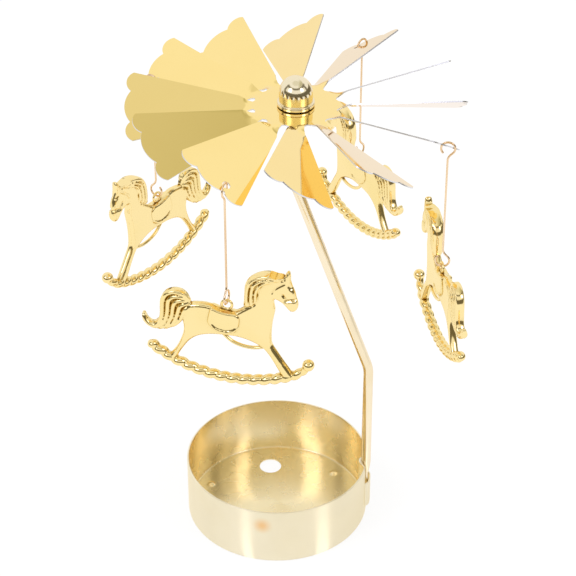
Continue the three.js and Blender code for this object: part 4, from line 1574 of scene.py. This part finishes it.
BODY = Plate(
    (
        (-0.21, -0.012), (-0.165, -0.002), (-0.125, 0.0), (-0.09, -0.006), (-0.04, -0.023), (0.0, -0.031),
        (0.048, -0.032), (0.098, 0.0), (0.138, 0.028), (0.16, 0.046), (0.168, 0.075), (0.172, 0.11),
        (0.184, 0.158), (0.22, 0.2), (0.28, 0.218), (0.322, 0.222), (0.331, 0.236), (0.339, 0.256),
        (0.348, 0.267), (0.358, 0.262), (0.363, 0.24), (0.364, 0.208), (0.374, 0.172), (0.388, 0.135),
        (0.396, 0.1), (0.405, 0.062), (0.401, 0.03), (0.385, 0.011), (0.361, 0.01), (0.338, 0.034),
        (0.314, 0.06), (0.275, 0.078), (0.27, 0.045), (0.276, 0.01), (0.262, -0.07), (0.255, -0.135),
        (0.254, -0.2),
        (0.258, -0.232), (0.292, -0.29), (0.328, -0.348), (0.37, -0.415), (0.376, -0.45), (0.34, -0.462),
        (0.316, -0.44), (0.272, -0.362), (0.236, -0.3), (0.205, -0.262), (0.165, -0.235), (0.12, -0.216),
        (0.06, -0.202), (0.0, -0.2), (-0.07, -0.202), (-0.13, -0.212), (-0.175, -0.23), (-0.215, -0.262),
        (-0.25, -0.31), (-0.28, -0.36), (-0.308, -0.41), (-0.34, -0.425), (-0.353, -0.4), (-0.335, -0.375),
        (-0.298, -0.325), (-0.27, -0.265), (-0.253, -0.21), (-0.25, -0.165), (-0.256, -0.12), (-0.245, -0.06),
    ),
    1.5, 1.3,
)
TAIL = Plate(
    (
        (-0.486, -0.112), (-0.474, -0.11), (-0.462, -0.142), (-0.44, -0.163), (-0.41, -0.158),
        (-0.386, -0.12),
        (-0.38, -0.06), (-0.379, -0.01), (-0.366, 0.025), (-0.34, 0.052), (-0.3, 0.068), (-0.26, 0.066),
        (-0.228, 0.04), (-0.205, -0.004), (-0.215, -0.06), (-0.24, -0.11), (-0.262, -0.142), (-0.3, -0.175),
        (-0.34, -0.2), (-0.39, -0.208), (-0.44, -0.198), (-0.475, -0.172),
    ),
    0.7, 1.0,
)
MANE = Plate(
    (
        (0.1, 0.014), (0.1, 0.05), (0.103, 0.11), (0.11, 0.16), (0.132, 0.197), (0.17, 0.224),
        (0.215, 0.237), (0.25, 0.237), (0.285, 0.228), (0.325, 0.23), (0.32, 0.214), (0.27, 0.2),
        (0.218, 0.178), (0.186, 0.14), (0.178, 0.09), (0.17, 0.045), (0.14, 0.02),
    ),
    1.5, 0.9,
)
SADDLE = Plate(
    (
        (-0.086, -0.014), (-0.04, -0.028), (0.0, -0.037), (0.04, -0.038), (0.062, -0.044), (0.074, -0.062),
        (0.076, -0.09), (0.07, -0.12), (0.058, -0.143), (0.034, -0.162), (0.0, -0.172), (-0.038, -0.17),
        (-0.068, -0.157), (-0.092, -0.135), (-0.106, -0.11), (-0.102, -0.075), (-0.094, -0.04),
    ),
    2.05, 0.65,
)
LOCKS = (
    Lock(((-0.215, 0.025), (-0.26, 0.052), (-0.305, 0.055), (-0.345, 0.032), (-0.364, -0.01),
          (-0.369, -0.07), (-0.377, -0.13), (-0.405, -0.174), (-0.44, -0.18), (-0.472, -0.15),
          (-0.482, -0.12)), 0.8, 0.6, 1.0),
    Lock(((-0.215, 0.015), (-0.26, 0.028), (-0.3, 0.024), (-0.33, -0.005), (-0.337, -0.06), (-0.347, -0.12),
          (-0.372, -0.165), (-0.41, -0.19), (-0.45, -0.186)), 0.8, 0.6, 1.0),
    Lock(((-0.215, 0.005), (-0.25, 0.004), (-0.285, -0.007), (-0.304, -0.04), (-0.311, -0.09),
          (-0.327, -0.14), (-0.357, -0.18), (-0.4, -0.2)), 0.75, 0.6, 1.0),
    Lock(((-0.212, -0.01), (-0.24, -0.019), (-0.265, -0.038), (-0.279, -0.08), (-0.293, -0.125),
          (-0.32, -0.165), (-0.36, -0.195)), 0.75, 0.6, 1.0),
    Lock(((-0.215, -0.035), (-0.235, -0.053), (-0.25, -0.085), (-0.264, -0.12), (-0.287, -0.15),
          (-0.32, -0.18)), 0.7, 0.6, 0.9),
    Lock(((0.33, 0.226), (0.3, 0.226), (0.25, 0.232), (0.2, 0.222), (0.155, 0.197), (0.128, 0.155),
          (0.119, 0.1), (0.117, 0.04), (0.116, 0.014)), 0.66, 1.0, 1.2),
    Lock(((0.315, 0.215), (0.24, 0.212), (0.195, 0.196), (0.159, 0.165), (0.145, 0.105), (0.143, 0.05),
          (0.143, 0.02)), 0.66, 1.0, 1.2),
    Lock(((0.29, 0.205), (0.228, 0.192), (0.19, 0.163), (0.17, 0.115), (0.167, 0.07), (0.163, 0.04)),
         0.55, 1.1, 0.95),
    Lock(((-0.086, -0.115), (-0.067, -0.142), (-0.035, -0.157), (0.006, -0.16), (0.04, -0.15),
          (0.06, -0.128)), 0.5, 1.85, 0.6),
    Lock(((0.259, 0.12), (0.276, 0.154), (0.31, 0.182), (0.342, 0.203)), 0.32, 0.0, -0.3),
    Lock(((0.35, 0.187), (0.362, 0.174), (0.374, 0.158)), 0.34, 0.0, -0.4),
    Lock(((0.318, 0.128), (0.328, 0.112), (0.341, 0.094)), 0.35, 0.0, -0.45),
    Lock(((0.325, 0.08), (0.352, 0.086), (0.375, 0.091), (0.406, 0.098)), 0.42, 0.0, -0.65),
    Lock(((0.261, -0.225), (0.3, -0.3), (0.335, -0.358), (0.37, -0.42)), 0.27, 0.0, -0.28),
)


@dataclass
class Rope:
    """The rocker of a charm: a twisted rope on an arc, with a ball at the front.

    Attributes:
        relief: how deep the grooves between the strands are.
        pitch: length of one turn of a strand.
        arc_radius: of the rope's middle line.
        arc_forward: how far in front of the charm's ring the arc's middle is.
        arc_raise: how far over the ring it is.
        ball_forward: how far in front of the ring the ball is.
        ball_drop: how far under the ring it is.
        pole: angle of the small flat faces at the ball's poles, in radians.
        strand_sharpness: how sharply two strands meet.
        rear_least: where the rounded rear end starts, as a share of the radius.
        neck_steps: how many steps before its end the rope bends to the ball.
        neck_slimness: how much slimmer it is there.
    """

    radius: float = 1.7
    relief: float = 0.55
    pitch: float = 3.35
    arc_radius: float = 41.0
    arc_forward: float = 3.0
    arc_raise: float = 14.9
    rear_angle: float = 229.0
    front_angle: float = 293.5
    ball_radius: float = 1.8
    ball_forward: float = 24.1
    ball_drop: float = 18.3
    ball_rings: int = 17
    ball_sides: int = 28
    pole: float = 0.05
    strand_sharpness: float = 0.8
    rear_least: float = 0.02
    neck_steps: int = 8
    neck_slimness: float = 0.25
    sides: int = 26
    steps_per_turn: int = 12

    def line(self) -> np.ndarray:
        """The rope's middle line.

        Returns:
            Its points from the rear end to the ball.
        """
        arc = self.arc_radius * math.radians(self.front_angle - self.rear_angle)
        steps = round(arc / self.pitch * self.steps_per_turn)
        angles = np.radians(np.linspace(self.rear_angle, self.front_angle, steps + 1))
        x = self.arc_forward + self.arc_radius * np.cos(angles)
        y = self.arc_raise + self.arc_radius * np.sin(angles)
        line = np.stack([x, y, np.zeros_like(x)], axis=1)
        ball = np.array([self.ball_forward, -self.ball_drop, 0])
        neck = (line[-1] + ball) / 2 + np.array([self.ball_radius, -self.ball_radius, 0]) / 4
        spacing = self.pitch / self.steps_per_turn
        bend = curve_through(np.array([line[-self.neck_steps], line[-1], neck, ball]), spacing, False)
        start = int(np.linalg.norm(bend - line[-1], axis=1).argmin())
        return np.concatenate([line, bend[start + 1:]])

    def rings(self) -> np.ndarray:
        """The twisted rope.

        Returns:
            Its rings, from the rear end to the ball.
        """
        line = self.line()
        whole = float(np.linalg.norm(np.diff(line, axis=0), axis=1).sum())

        def reach(way: np.ndarray, angle: np.ndarray) -> np.ndarray:
            """The rope's radius, with its strands, its rounded rear end and its slimmer front end.

            Args:
                way: how far along the rope.
                angle: where round it.

            Returns:
                The radii.
            """
            phase = way / self.pitch * FULL_TURN + angle
            strand = 1 - np.abs(np.sin(phase / 2)) ** self.strand_sharpness
            rear = np.clip(way / self.radius, self.rear_least, 1)
            front = np.clip((way - whole + 4 * self.ball_radius) / (3 * self.ball_radius), 0, 1)
            plain = self.radius - self.relief * strand
            return plain * np.sqrt(rear * (2 - rear)) * (1 - self.neck_slimness * front)

        return sweep(line, UP, self.sides, reach)

    def ball(self) -> np.ndarray:
        """The ball at the front of the rocker.

        Returns:
            Its rings.
        """
        bends = np.linspace(-math.pi / 2 + self.pole, math.pi / 2 - self.pole, self.ball_rings)
        section = self.ball_radius * np.stack([np.cos(bends), np.sin(bends)], axis=1)
        return turned(section, (self.ball_forward, -self.ball_drop, 0.0), self.ball_sides)


@dataclass
class RockingHorse:
    """A charm that is embossed on both faces, with a ring over its saddle.

    Attributes:
        number: the charm's number.
        origin: the middle of its ring.
        outward: square to its faces, away from the wheel's axis.
        length: what the shares of its outlines are shares of.
        half_edge: half the thickness of its edge.
        inner_share: height of the inner face's relief, as a share of the outer one's.
        lock_ends: how steeply a strand or a line starts and ends.
        spacing: between the points of its faces.
        snap: points of an outline lie no further from it than this.
        row_shares: where rows of points follow a rounded edge, as shares of the rounding.
        row_clearance: how near the other side such a point may lie, as a share of its own depth.
        grid_rows: between the rows of the grid, as a share of the spacing.
        grid_clearance: between the grid and the other points, as a share of the spacing.
        grid_batch: how many of those points are compared at a time.
    """

    number: int
    origin: np.ndarray
    outward: np.ndarray
    length: float = 52.0
    half_edge: float = 0.15
    inner_share: float = 0.75
    lock_ends: float = 7.0
    ring_hole: float = 1.15
    ring_wire: float = 0.4
    ring_sides: int = 36
    ring_wire_sides: int = 12
    girth_radius: float = 0.55
    girth_spacing: float = 0.5
    girth_sides: int = 12
    girth_shares: tuple[Point, ...] = (
        (-0.03, -0.19), (-0.01, -0.212), (0.025, -0.243), (0.08, -0.266), (0.145, -0.273), (0.195, -0.263),
        (0.225, -0.25),
    )
    spacing: float = 0.32
    snap: float = 1e-4
    row_shares: tuple[float, ...] = (0.08, 0.3, 0.62, 1.0)
    row_clearance: float = 0.93
    grid_rows: float = 0.87
    grid_clearance: float = 0.6
    grid_batch: int = 200
    rope: Rope = field(default_factory=Rope)

    def outline(self, plate: Plate) -> np.ndarray:
        """A plate's smooth outline, in millimetres."""
        return curve_through(np.array(plate.shares) * self.length, self.spacing, True)

    def relief(self, spots: np.ndarray, outlines: dict[Plate, np.ndarray]) -> np.ndarray:
        """Height of the outer face at given points.

        Args:
            spots: rows of x and y.
            outlines: the outline of each plate.

        Returns:
            The heights over the middle plane.
        """
        height = np.full(len(spots), self.half_edge)
        for plate, outline in outlines.items():
            gap, _ = distance_to(spots, outline, True)
            covered = inside(spots, outline) | (gap < self.snap)
            inset = np.minimum(gap, plate.rounding)
            edge = plate.rounding - np.sqrt(np.maximum(plate.rounding**2 - (plate.rounding - inset) ** 2, 0))
            height = np.where(covered, np.maximum(height, plate.depth - edge), height)
        for lock in LOCKS:
            line = curve_through(np.array(lock.shares) * self.length, self.spacing, False)
            gap, share = distance_to(spots, line, False)
            fade = np.clip(np.minimum(share, 1 - share) * self.lock_ends, 0, 1) ** 0.5
            if lock.rise > 0:
                strand = np.sqrt(np.maximum(1 - (gap / lock.width) ** 2, 0)) * lock.rise * fade
                height = np.where(gap < lock.width, np.maximum(height, lock.foot + strand), height)
            else:
                height = height + lock.rise * fade * np.exp(-((gap / lock.width) ** 2))
        return np.maximum(height, self.half_edge)

    def embossed(self) -> tuple[np.ndarray, list[Face]]:
        """Both embossed faces, which meet in a narrow edge.

        Returns:
            Their points and their faces.
        """
        outlines = {plate: self.outline(plate) for plate in (BODY, TAIL, MANE, SADDLE)}
        plan, triangles = self.plan(outlines)
        height = self.relief(plan, outlines)
        depth = -self.half_edge - (height - self.half_edge) * self.inner_share
        count = len(plan)
        outer: list[Face] = [tuple(int(corner) for corner in face) for face in triangles]
        inner = [tuple(corner + count for corner in face[::-1]) for face in outer]
        edge = [(b, a, a + count, b + count) for a, b in self.border(outer)]
        points = np.concatenate([np.column_stack([plan, height]), np.column_stack([plan, depth])])
        return points, outer + inner + edge

    @staticmethod
    def border(triangles: Sequence[Face]) -> Iterable[Face]:
        """The edges round triangles.

        Args:
            triangles: the corners of each.

        Returns:
            The edges that only one triangle has, in its own direction.
        """
        edges: dict[Face, None] = {}
        for a, b, c in triangles:
            for edge in ((a, b), (b, c), (c, a)):
                if edge[::-1] in edges:
                    del edges[edge[::-1]]
                else:
                    edges[edge] = None
        return edges

    def plan(self, outlines: dict[Plate, np.ndarray]) -> tuple[np.ndarray, np.ndarray]:
        """The charm's plan in triangles.

        Args:
            outlines: the outline of each plate.

        Returns:
            The corners and the triangles.
        """
        loops = list(outlines.values())
        rows = [row for plate, outline in outlines.items() for row in self.inner_rows(plate, outline)]
        points = np.concatenate([*rows, self.grid(np.concatenate([*loops, *rows]))])
        corners, triangles, within = triangulated(loops, points, 1e-6)
        triangles = triangles[within.any(axis=0)]
        used, numbers = np.unique(triangles, return_inverse=True)
        return corners[used], numbers.reshape(triangles.shape)

    def grid(self, points: np.ndarray) -> np.ndarray:
        """An even grid over the plan.

        Args:
            points: the points that are there already.

        Returns:
            The grid's points, with room round the others.
        """
        low, high = points.min(axis=0), points.max(axis=0)
        across = np.arange(low[0], high[0], self.spacing)
        up = np.arange(low[1], high[1], self.spacing * self.grid_rows)
        grid = np.stack(np.meshgrid(across, up), axis=2)
        grid[1::2, :, 0] += self.spacing / 2
        grid = grid.reshape(-1, 2)
        near = np.full(len(grid), np.inf)
        for start in range(0, len(points), self.grid_batch):
            batch = points[start:start + self.grid_batch]
            gaps = np.linalg.norm(grid[:, None] - batch[None], axis=2)
            near = np.minimum(near, gaps.min(axis=1))
        return grid[near > self.spacing * self.grid_clearance]

    def inner_rows(self, plate: Plate, outline: np.ndarray) -> list[np.ndarray]:
        """Rows of points that follow a plate's rounded edge.

        Args:
            plate: the plate.
            outline: its outline.

        Returns:
            The rows, each without the points that lie too near the other side.
        """
        ahead = np.roll(outline, -1, axis=0) - np.roll(outline, 1, axis=0)
        ahead /= np.linalg.norm(ahead, axis=1, keepdims=True)
        normal = np.stack([ahead[:, 1], -ahead[:, 0]], axis=1)
        rows = []
        for share in self.row_shares:
            depth = plate.rounding * share
            row = outline + normal * depth
            gap, _ = distance_to(row, outline, True)
            rows.append(row[inside(row, outline) & (gap > depth * self.row_clearance)])
        return rows

    def build(self, twin: bpy.types.Mesh | None) -> bpy.types.Mesh:
        """Builds the charm, or takes the mesh of the one before.

        Args:
            twin: the mesh of an earlier charm, if there is one.

        Returns:
            The charm's mesh, in its own frame.
        """
        name = f"horse_charm_{self.number}"
        if twin is None:
            charm = self.cast(name)
            twin = charm.data.copy()
        else:
            charm = bpy.data.objects.new(name, twin.copy())
            bpy.context.scene.collection.objects.link(charm)
        basis = np.column_stack([np.cross(UP, self.outward), UP, self.outward, self.origin * MM])
        charm.data.transform(Matrix([*basis.tolist(), (0, 0, 0, 1)]))
        charm.data.update()
        place(charm, f"horse_body_{self.number}", f"rocking_horse_{self.number}", "horse")
        return twin

    def cast(self, name: str) -> bpy.types.Object:
        """Makes the charm in its own frame, with +X forwards and +Y up.

        Args:
            name: the piece's name.

        Returns:
            The charm.
        """
        girth = curve_through(np.array(self.girth_shares) * self.length, self.girth_spacing, False)
        strap = np.column_stack([girth, np.zeros(len(girth))])
        skin = Skin()
        skin.add(*self.embossed())
        skin.add_rings(self.rope.rings())
        skin.add_rings(self.rope.ball())
        skin.add_rings(self.ring(), capped=False)
        skin.add_rings(sweep(strap, UP, self.girth_sides, lambda way, angle: np.full(1, self.girth_radius)))
        return skin.build(name, [CHARM_GOLD.material()], crease=62.0)

    def ring(self) -> np.ndarray:
        """The ring that the wire holds.

        Returns:
            The rings of points round its own wire, the first one also as the last.
        """
        around = np.arange(self.ring_wire_sides) * FULL_TURN / self.ring_wire_sides
        reach = self.ring_hole + self.ring_wire + self.ring_wire * np.cos(around)
        section = np.stack([reach, self.ring_wire * np.sin(around)], axis=1)
        rings = turned(section, (0.0, 0.0, 0.0), self.ring_sides).swapaxes(0, 1)
        return np.concatenate([rings, rings[:1]])[:, ::-1]


# Studio


@dataclass(frozen=True)
class Panel:
    """A dark or a bright part of the studio, as the metal mirrors it.

    Attributes:
        turns: its stretches round the object, in radians from the front, positive to the right.
        heights: its stretch up, where 0 is level with the object and 1 straight over it.
    """

    turns: tuple[Stretch, ...]
    heights: Stretch

    def share(self, turn: Signal, height: Signal) -> Signal:
        """How much of the panel there is.

        Args:
            turn: where a mirrored ray goes, round the object.
            height: where it goes, up.

        Returns:
            A share from 0 beside the panel to 1 on it.
        """
        return total(turn.between(*stretch) for stretch in self.turns) * height.between(*self.heights)


@dataclass(frozen=True)
class Surroundings:
    """The soft white studio that the metal mirrors.

    Attributes:
        ahead: towards the front.
        right: towards the right.
        front: the dark front, which gives the charms' grooves and the lower edges their lines.
        canopy: the darker canopy over the front.
        posts: two posts that carry it.
        windows: two bright windows between them.
        wall_side: how far to the right the right wall starts and is full.
        wall_foot: how high it starts and is full.
        wall_head: how high it has ended and is still full.
        ceiling: how high the ceiling starts and is full.
        front_dark: how much darker than white the front is, and so on for the next three.
        window_light: how much brighter than white the windows are.
        cream: colour of the right wall and of the ceiling.
        wall_cream: how much of it the wall has, and so on for the ceiling.
        warm: colour of the dark front and of the canopy.
        canopy_warm: how much of it the canopy has.
        daylight: colour of the windows.
    """

    ahead: Place = (0.1, -1.0, 0.0)
    right: Place = (1.0, 0.1, 0.0)
    front: Panel = Panel(((-1.6, 2.3, 0.2),), (-0.19, 0.235, 0.035))
    canopy: Panel = Panel(((-1.7, 1.9, 0.2),), (0.62, 0.78, 0.03))
    posts: Panel = Panel(((-1.68, -1.4, 0.08), (1.4, 1.68, 0.08)), (0.22, 0.7, 0.03))
    windows: Panel = Panel(((-1.02, -0.6, 0.03), (0.7, 1.04, 0.03)), (0.37, 0.7, 0.03))
    wall_side: Point = (0.15, 0.55)
    wall_foot: Point = (0.72, 0.86)
    wall_head: Point = (0.99, 0.93)
    ceiling: Point = (0.9, 0.98)
    front_dark: float = 0.84
    canopy_dark: float = 0.76
    wall_dark: float = 0.46
    ceiling_dark: float = 0.17
    window_light: float = 2.6
    cream: Colour = (1.0, 0.96, 0.64)
    wall_cream: float = 0.9
    ceiling_cream: float = 0.3
    warm: Colour = (1.0, 0.88, 0.6)
    canopy_warm: float = 0.6
    daylight: Colour = (0.9, 0.93, 1.2)

    def background(self, graph: Graph) -> Signal:
        """Makes what the metal mirrors.

        Args:
            graph: the world's graph.

        Returns:
            The background's shader.
        """
        ray = graph.node("ShaderNodeTexCoord", {}, {})["Generated"]
        height = graph.node("ShaderNodeSeparateXYZ", {}, {0: ray})["Z"]
        side = graph.vector("DOT_PRODUCT", ray, self.right, "Value")
        turn = side.bearing(graph.vector("DOT_PRODUCT", ray, self.ahead, "Value"))
        front = self.front.share(turn, height)
        canopy = (self.canopy.share(turn, height) + self.posts.share(turn, height)).below(1.0)
        windows = self.windows.share(turn, height)
        wall = side.rise(*self.wall_side) * height.rise(*self.wall_foot) * height.rise(*self.wall_head)
        ceiling = height.rise(*self.ceiling)

        level = (1.0 - front * self.front_dark) * (1.0 - canopy * self.canopy_dark)
        level = level * (1.0 - wall * self.wall_dark) * (1.0 - ceiling * self.ceiling_dark)
        level = level + windows * self.window_light
        cream = wall * self.wall_cream + ceiling * self.ceiling_cream
        colour = graph.mix("MIX", cream, WHITE, self.cream)
        colour = graph.mix("MULTIPLY", front + canopy * self.canopy_warm, colour, self.warm)
        colour = graph.mix("MULTIPLY", windows, colour, self.daylight)
        return graph.light("ShaderNodeBackground", colour, level)


@dataclass(frozen=True)
class Lamp:
    """A soft square lamp, which the metal doesn't mirror.

    Attributes:
        name: its name.
        spot: its place, in millimetres.
        size: of its face, in millimetres.
        power: in watts.
        aim: the point that it looks at, in millimetres.
    """

    name: str
    spot: Place
    size: float
    power: float
    aim: Place = (0.0, 0.0, 80.0)

    def build(self) -> None:
        """Puts the lamp in the scene."""
        data = bpy.data.lights.new(self.name, "AREA")
        data.size = self.size * MM
        data.energy = self.power
        lamp = bpy.data.objects.new(self.name, data)
        lamp.location = Vector(self.spot) * MM
        lamp.rotation_mode = "QUATERNION"
        lamp.rotation_quaternion = (Vector(self.aim) - Vector(self.spot)).to_track_quat("-Z", "Y")
        lamp.visible_glossy = False
        bpy.context.scene.collection.objects.link(lamp)


@dataclass
class Studio:
    """The pale floor, the soft light and the camera.

    Attributes:
        camera_place: in millimetres.
        camera_turn: in degrees.
        lens: focal length of the camera, in millimetres.
        sensor: width of its sensor, in millimetres.
        floor_size: how wide and how deep the floor is behind and to the left.
        floor_front: how far it reaches to the front.
        floor_right: how far it reaches to the right.
        floor_glow: how much of the floor's white doesn't depend on the light, to the camera and the metal.
        gleams: stretches of the two gleams in the floor, in radians from the front.
        gleam_start: where they start.
        gleam_full: how far from the object they are full.
        gleam_reach: how far from it they end.
        gleam_strength: of their light, where 1 is white.
        world_level: of the light on matte surfaces.
    """

    camera_place: Place = (57.15, -509.46, 431.67)
    camera_turn: Place = (56.134, 0.0, 6.0)
    lens: float = 122.75
    sensor: float = 36.0
    floor_size: float = 9000.0
    floor_front: float = 420.0
    floor_right: float = 260.0
    floor_colour: Colour = (0.95, 0.95, 0.95)
    floor_glow: float = 0.82
    gleams: tuple[Stretch, ...] = ((-0.79, -0.59, 0.04), (1.06, 1.32, 0.05))
    gleam_start: Point = (3.0, -18.6)
    gleam_full: float = 40.0
    gleam_reach: float = 90.0
    gleam_strength: float = 1.45
    world_level: float = 0.85
    surroundings: Surroundings = Surroundings()
    lamps: tuple[Lamp, ...] = (
        Lamp("key_light", (-620.0, -420.0, 900.0), 700.0, 6.0),
        Lamp("fill_light", (760.0, -260.0, 700.0), 600.0, 4.0),
    )

    def build(self) -> None:
        """Sets up the colours, the camera, the floor, the world and the lamps."""
        bpy.context.scene.view_settings.view_transform = "Standard"
        self.add_camera()
        self.add_floor()
        self.light_world()
        for lamp in self.lamps:
            lamp.build()
        log.info("studio is ready")

    def add_camera(self) -> None:
        """Puts the camera where the photograph was taken from."""
        data = bpy.data.cameras.new("camera")
        data.lens = self.lens
        data.sensor_width = self.sensor
        data.clip_start, data.clip_end = 0.01, 50.0
        camera = bpy.data.objects.new("camera", data)
        camera.location = Vector(self.camera_place) * MM
        camera.rotation_euler = Euler([math.radians(turn) for turn in self.camera_turn])
        bpy.context.scene.collection.objects.link(camera)
        bpy.context.scene.camera = camera

    def add_floor(self) -> None:
        """Adds the floor, which keeps the object's faint shadow."""
        half, right, front = self.floor_size / 2, self.floor_right, -self.floor_front
        corners = [(-half, front, 0.0), (right, front, 0.0), (right, half, 0.0), (-half, half, 0.0)]
        skin = Skin()
        skin.add(np.array(corners), [(0, 1, 2, 3)])
        skin.build("floor", [self.floor_white()])

    def floor_white(self) -> bpy.types.Material:
        """Makes the floor's finish: white to the camera, with two gleams that only the metal mirrors.

        Returns:
            The material.
        """
        made = bpy.data.materials.new("floor_white")
        made.use_nodes = True
        graph = Graph(made.node_tree)
        path = graph.node("ShaderNodeLightPath", {}, {})
        seen = total(path[f"Is {kind} Ray"] for kind in ("Camera", "Glossy", "Transmission"))
        matte = graph.node("ShaderNodeBsdfDiffuse", {}, {"Color": (*self.floor_colour, 1.0)})["BSDF"]
        floor = graph.faded(seen * self.floor_glow, matte, graph.light("ShaderNodeEmission", WHITE, 1.0))

        place = graph.node("ShaderNodeTexCoord", {}, {})["Object"]
        parts = graph.node("ShaderNodeSeparateXYZ", {}, {0: place})
        start_x, start_y = self.gleam_start
        turn = (parts["X"] - start_x * MM).bearing(start_y * MM - parts["Y"])
        away = graph.vector("LENGTH", place, (0.0, 0.0, 0.0), "Value")
        near = away.rise(self.gleam_reach * MM, self.gleam_full * MM)
        gleams = total(turn.between(*stretch) for stretch in self.gleams) * near
        gleam = graph.light("ShaderNodeEmission", WHITE, self.gleam_strength)
        floor = graph.faded(gleams * path["Is Glossy Ray"], floor, gleam)
        graph.node("ShaderNodeOutputMaterial", {}, {"Surface": floor})
        return made

    def light_world(self) -> None:
        """Makes the world: white to the camera, plain on matte surfaces, the surroundings in the metal."""
        world = bpy.data.worlds.new("studio")
        world.use_nodes = True
        bpy.context.scene.world = world
        graph = Graph(world.node_tree)
        path = graph.node("ShaderNodeLightPath", {}, {})
        plain = graph.light("ShaderNodeBackground", WHITE, self.world_level)
        white = graph.light("ShaderNodeBackground", WHITE, 1.0)
        metal = graph.faded(path["Is Glossy Ray"], plain, self.surroundings.background(graph))
        clear = path["Is Camera Ray"] + path["Is Transmission Ray"]
        graph.node("ShaderNodeOutputWorld", {}, {"Surface": graph.faded(clear, metal, white)})


@dataclass
class Carousel:
    """The whole product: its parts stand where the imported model's joints say.

    Attributes:
        joints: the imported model's joints, by name.
        clearance: between a ring and its hook, in millimetres.
        asides: how far each wire hangs off the middle of its eye, in millimetres.
    """

    joints: dict[str, dict]
    clearance: float = 0.3
    asides: tuple[float, ...] = (0.0, 0.12, 0.22, -0.24)

    def build(self) -> None:
        """Builds the parts from the table up."""
        hub = self.spot("rotor_spin")
        cup = Cup()
        cup.build()
        Arm(cup, hub[0], hub[2]).build()
        FanWheel(hub[0], hub[2]).build()
        BearingCap(hub[0], hub[2]).build()
        drop = RockingHorse.ring_hole - Hanger.wire_radius - self.clearance
        twin = None
        for number, aside in enumerate(self.asides, start=1):
            swing, rock = f"hanger_{number}_swing", f"horse_{number}_rock"
            Hanger(number, self.spot(swing), self.axis(swing), self.spot(rock), aside).build()
            twin = RockingHorse(number, self.spot(rock) - UP * drop, self.axis(rock)).build(twin)

    def spot(self, joint: str) -> np.ndarray:
        """Where a joint is, in millimetres."""
        return np.array(self.joints[joint]["pos_m"], float) / MM

    def axis(self, joint: str) -> np.ndarray:
        """The direction of a joint's axis."""
        axis = np.array(self.joints[joint]["axis"], float)
        return axis / np.linalg.norm(axis)


def main() -> None:
    """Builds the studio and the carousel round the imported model."""
    logging.basicConfig(level=logging.INFO, format="%(name)s: %(message)s")
    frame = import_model()
    Studio().build()
    Carousel({joint["name"]: joint for joint in frame["joints"]}).build()


if __name__ == "__main__":
    main()
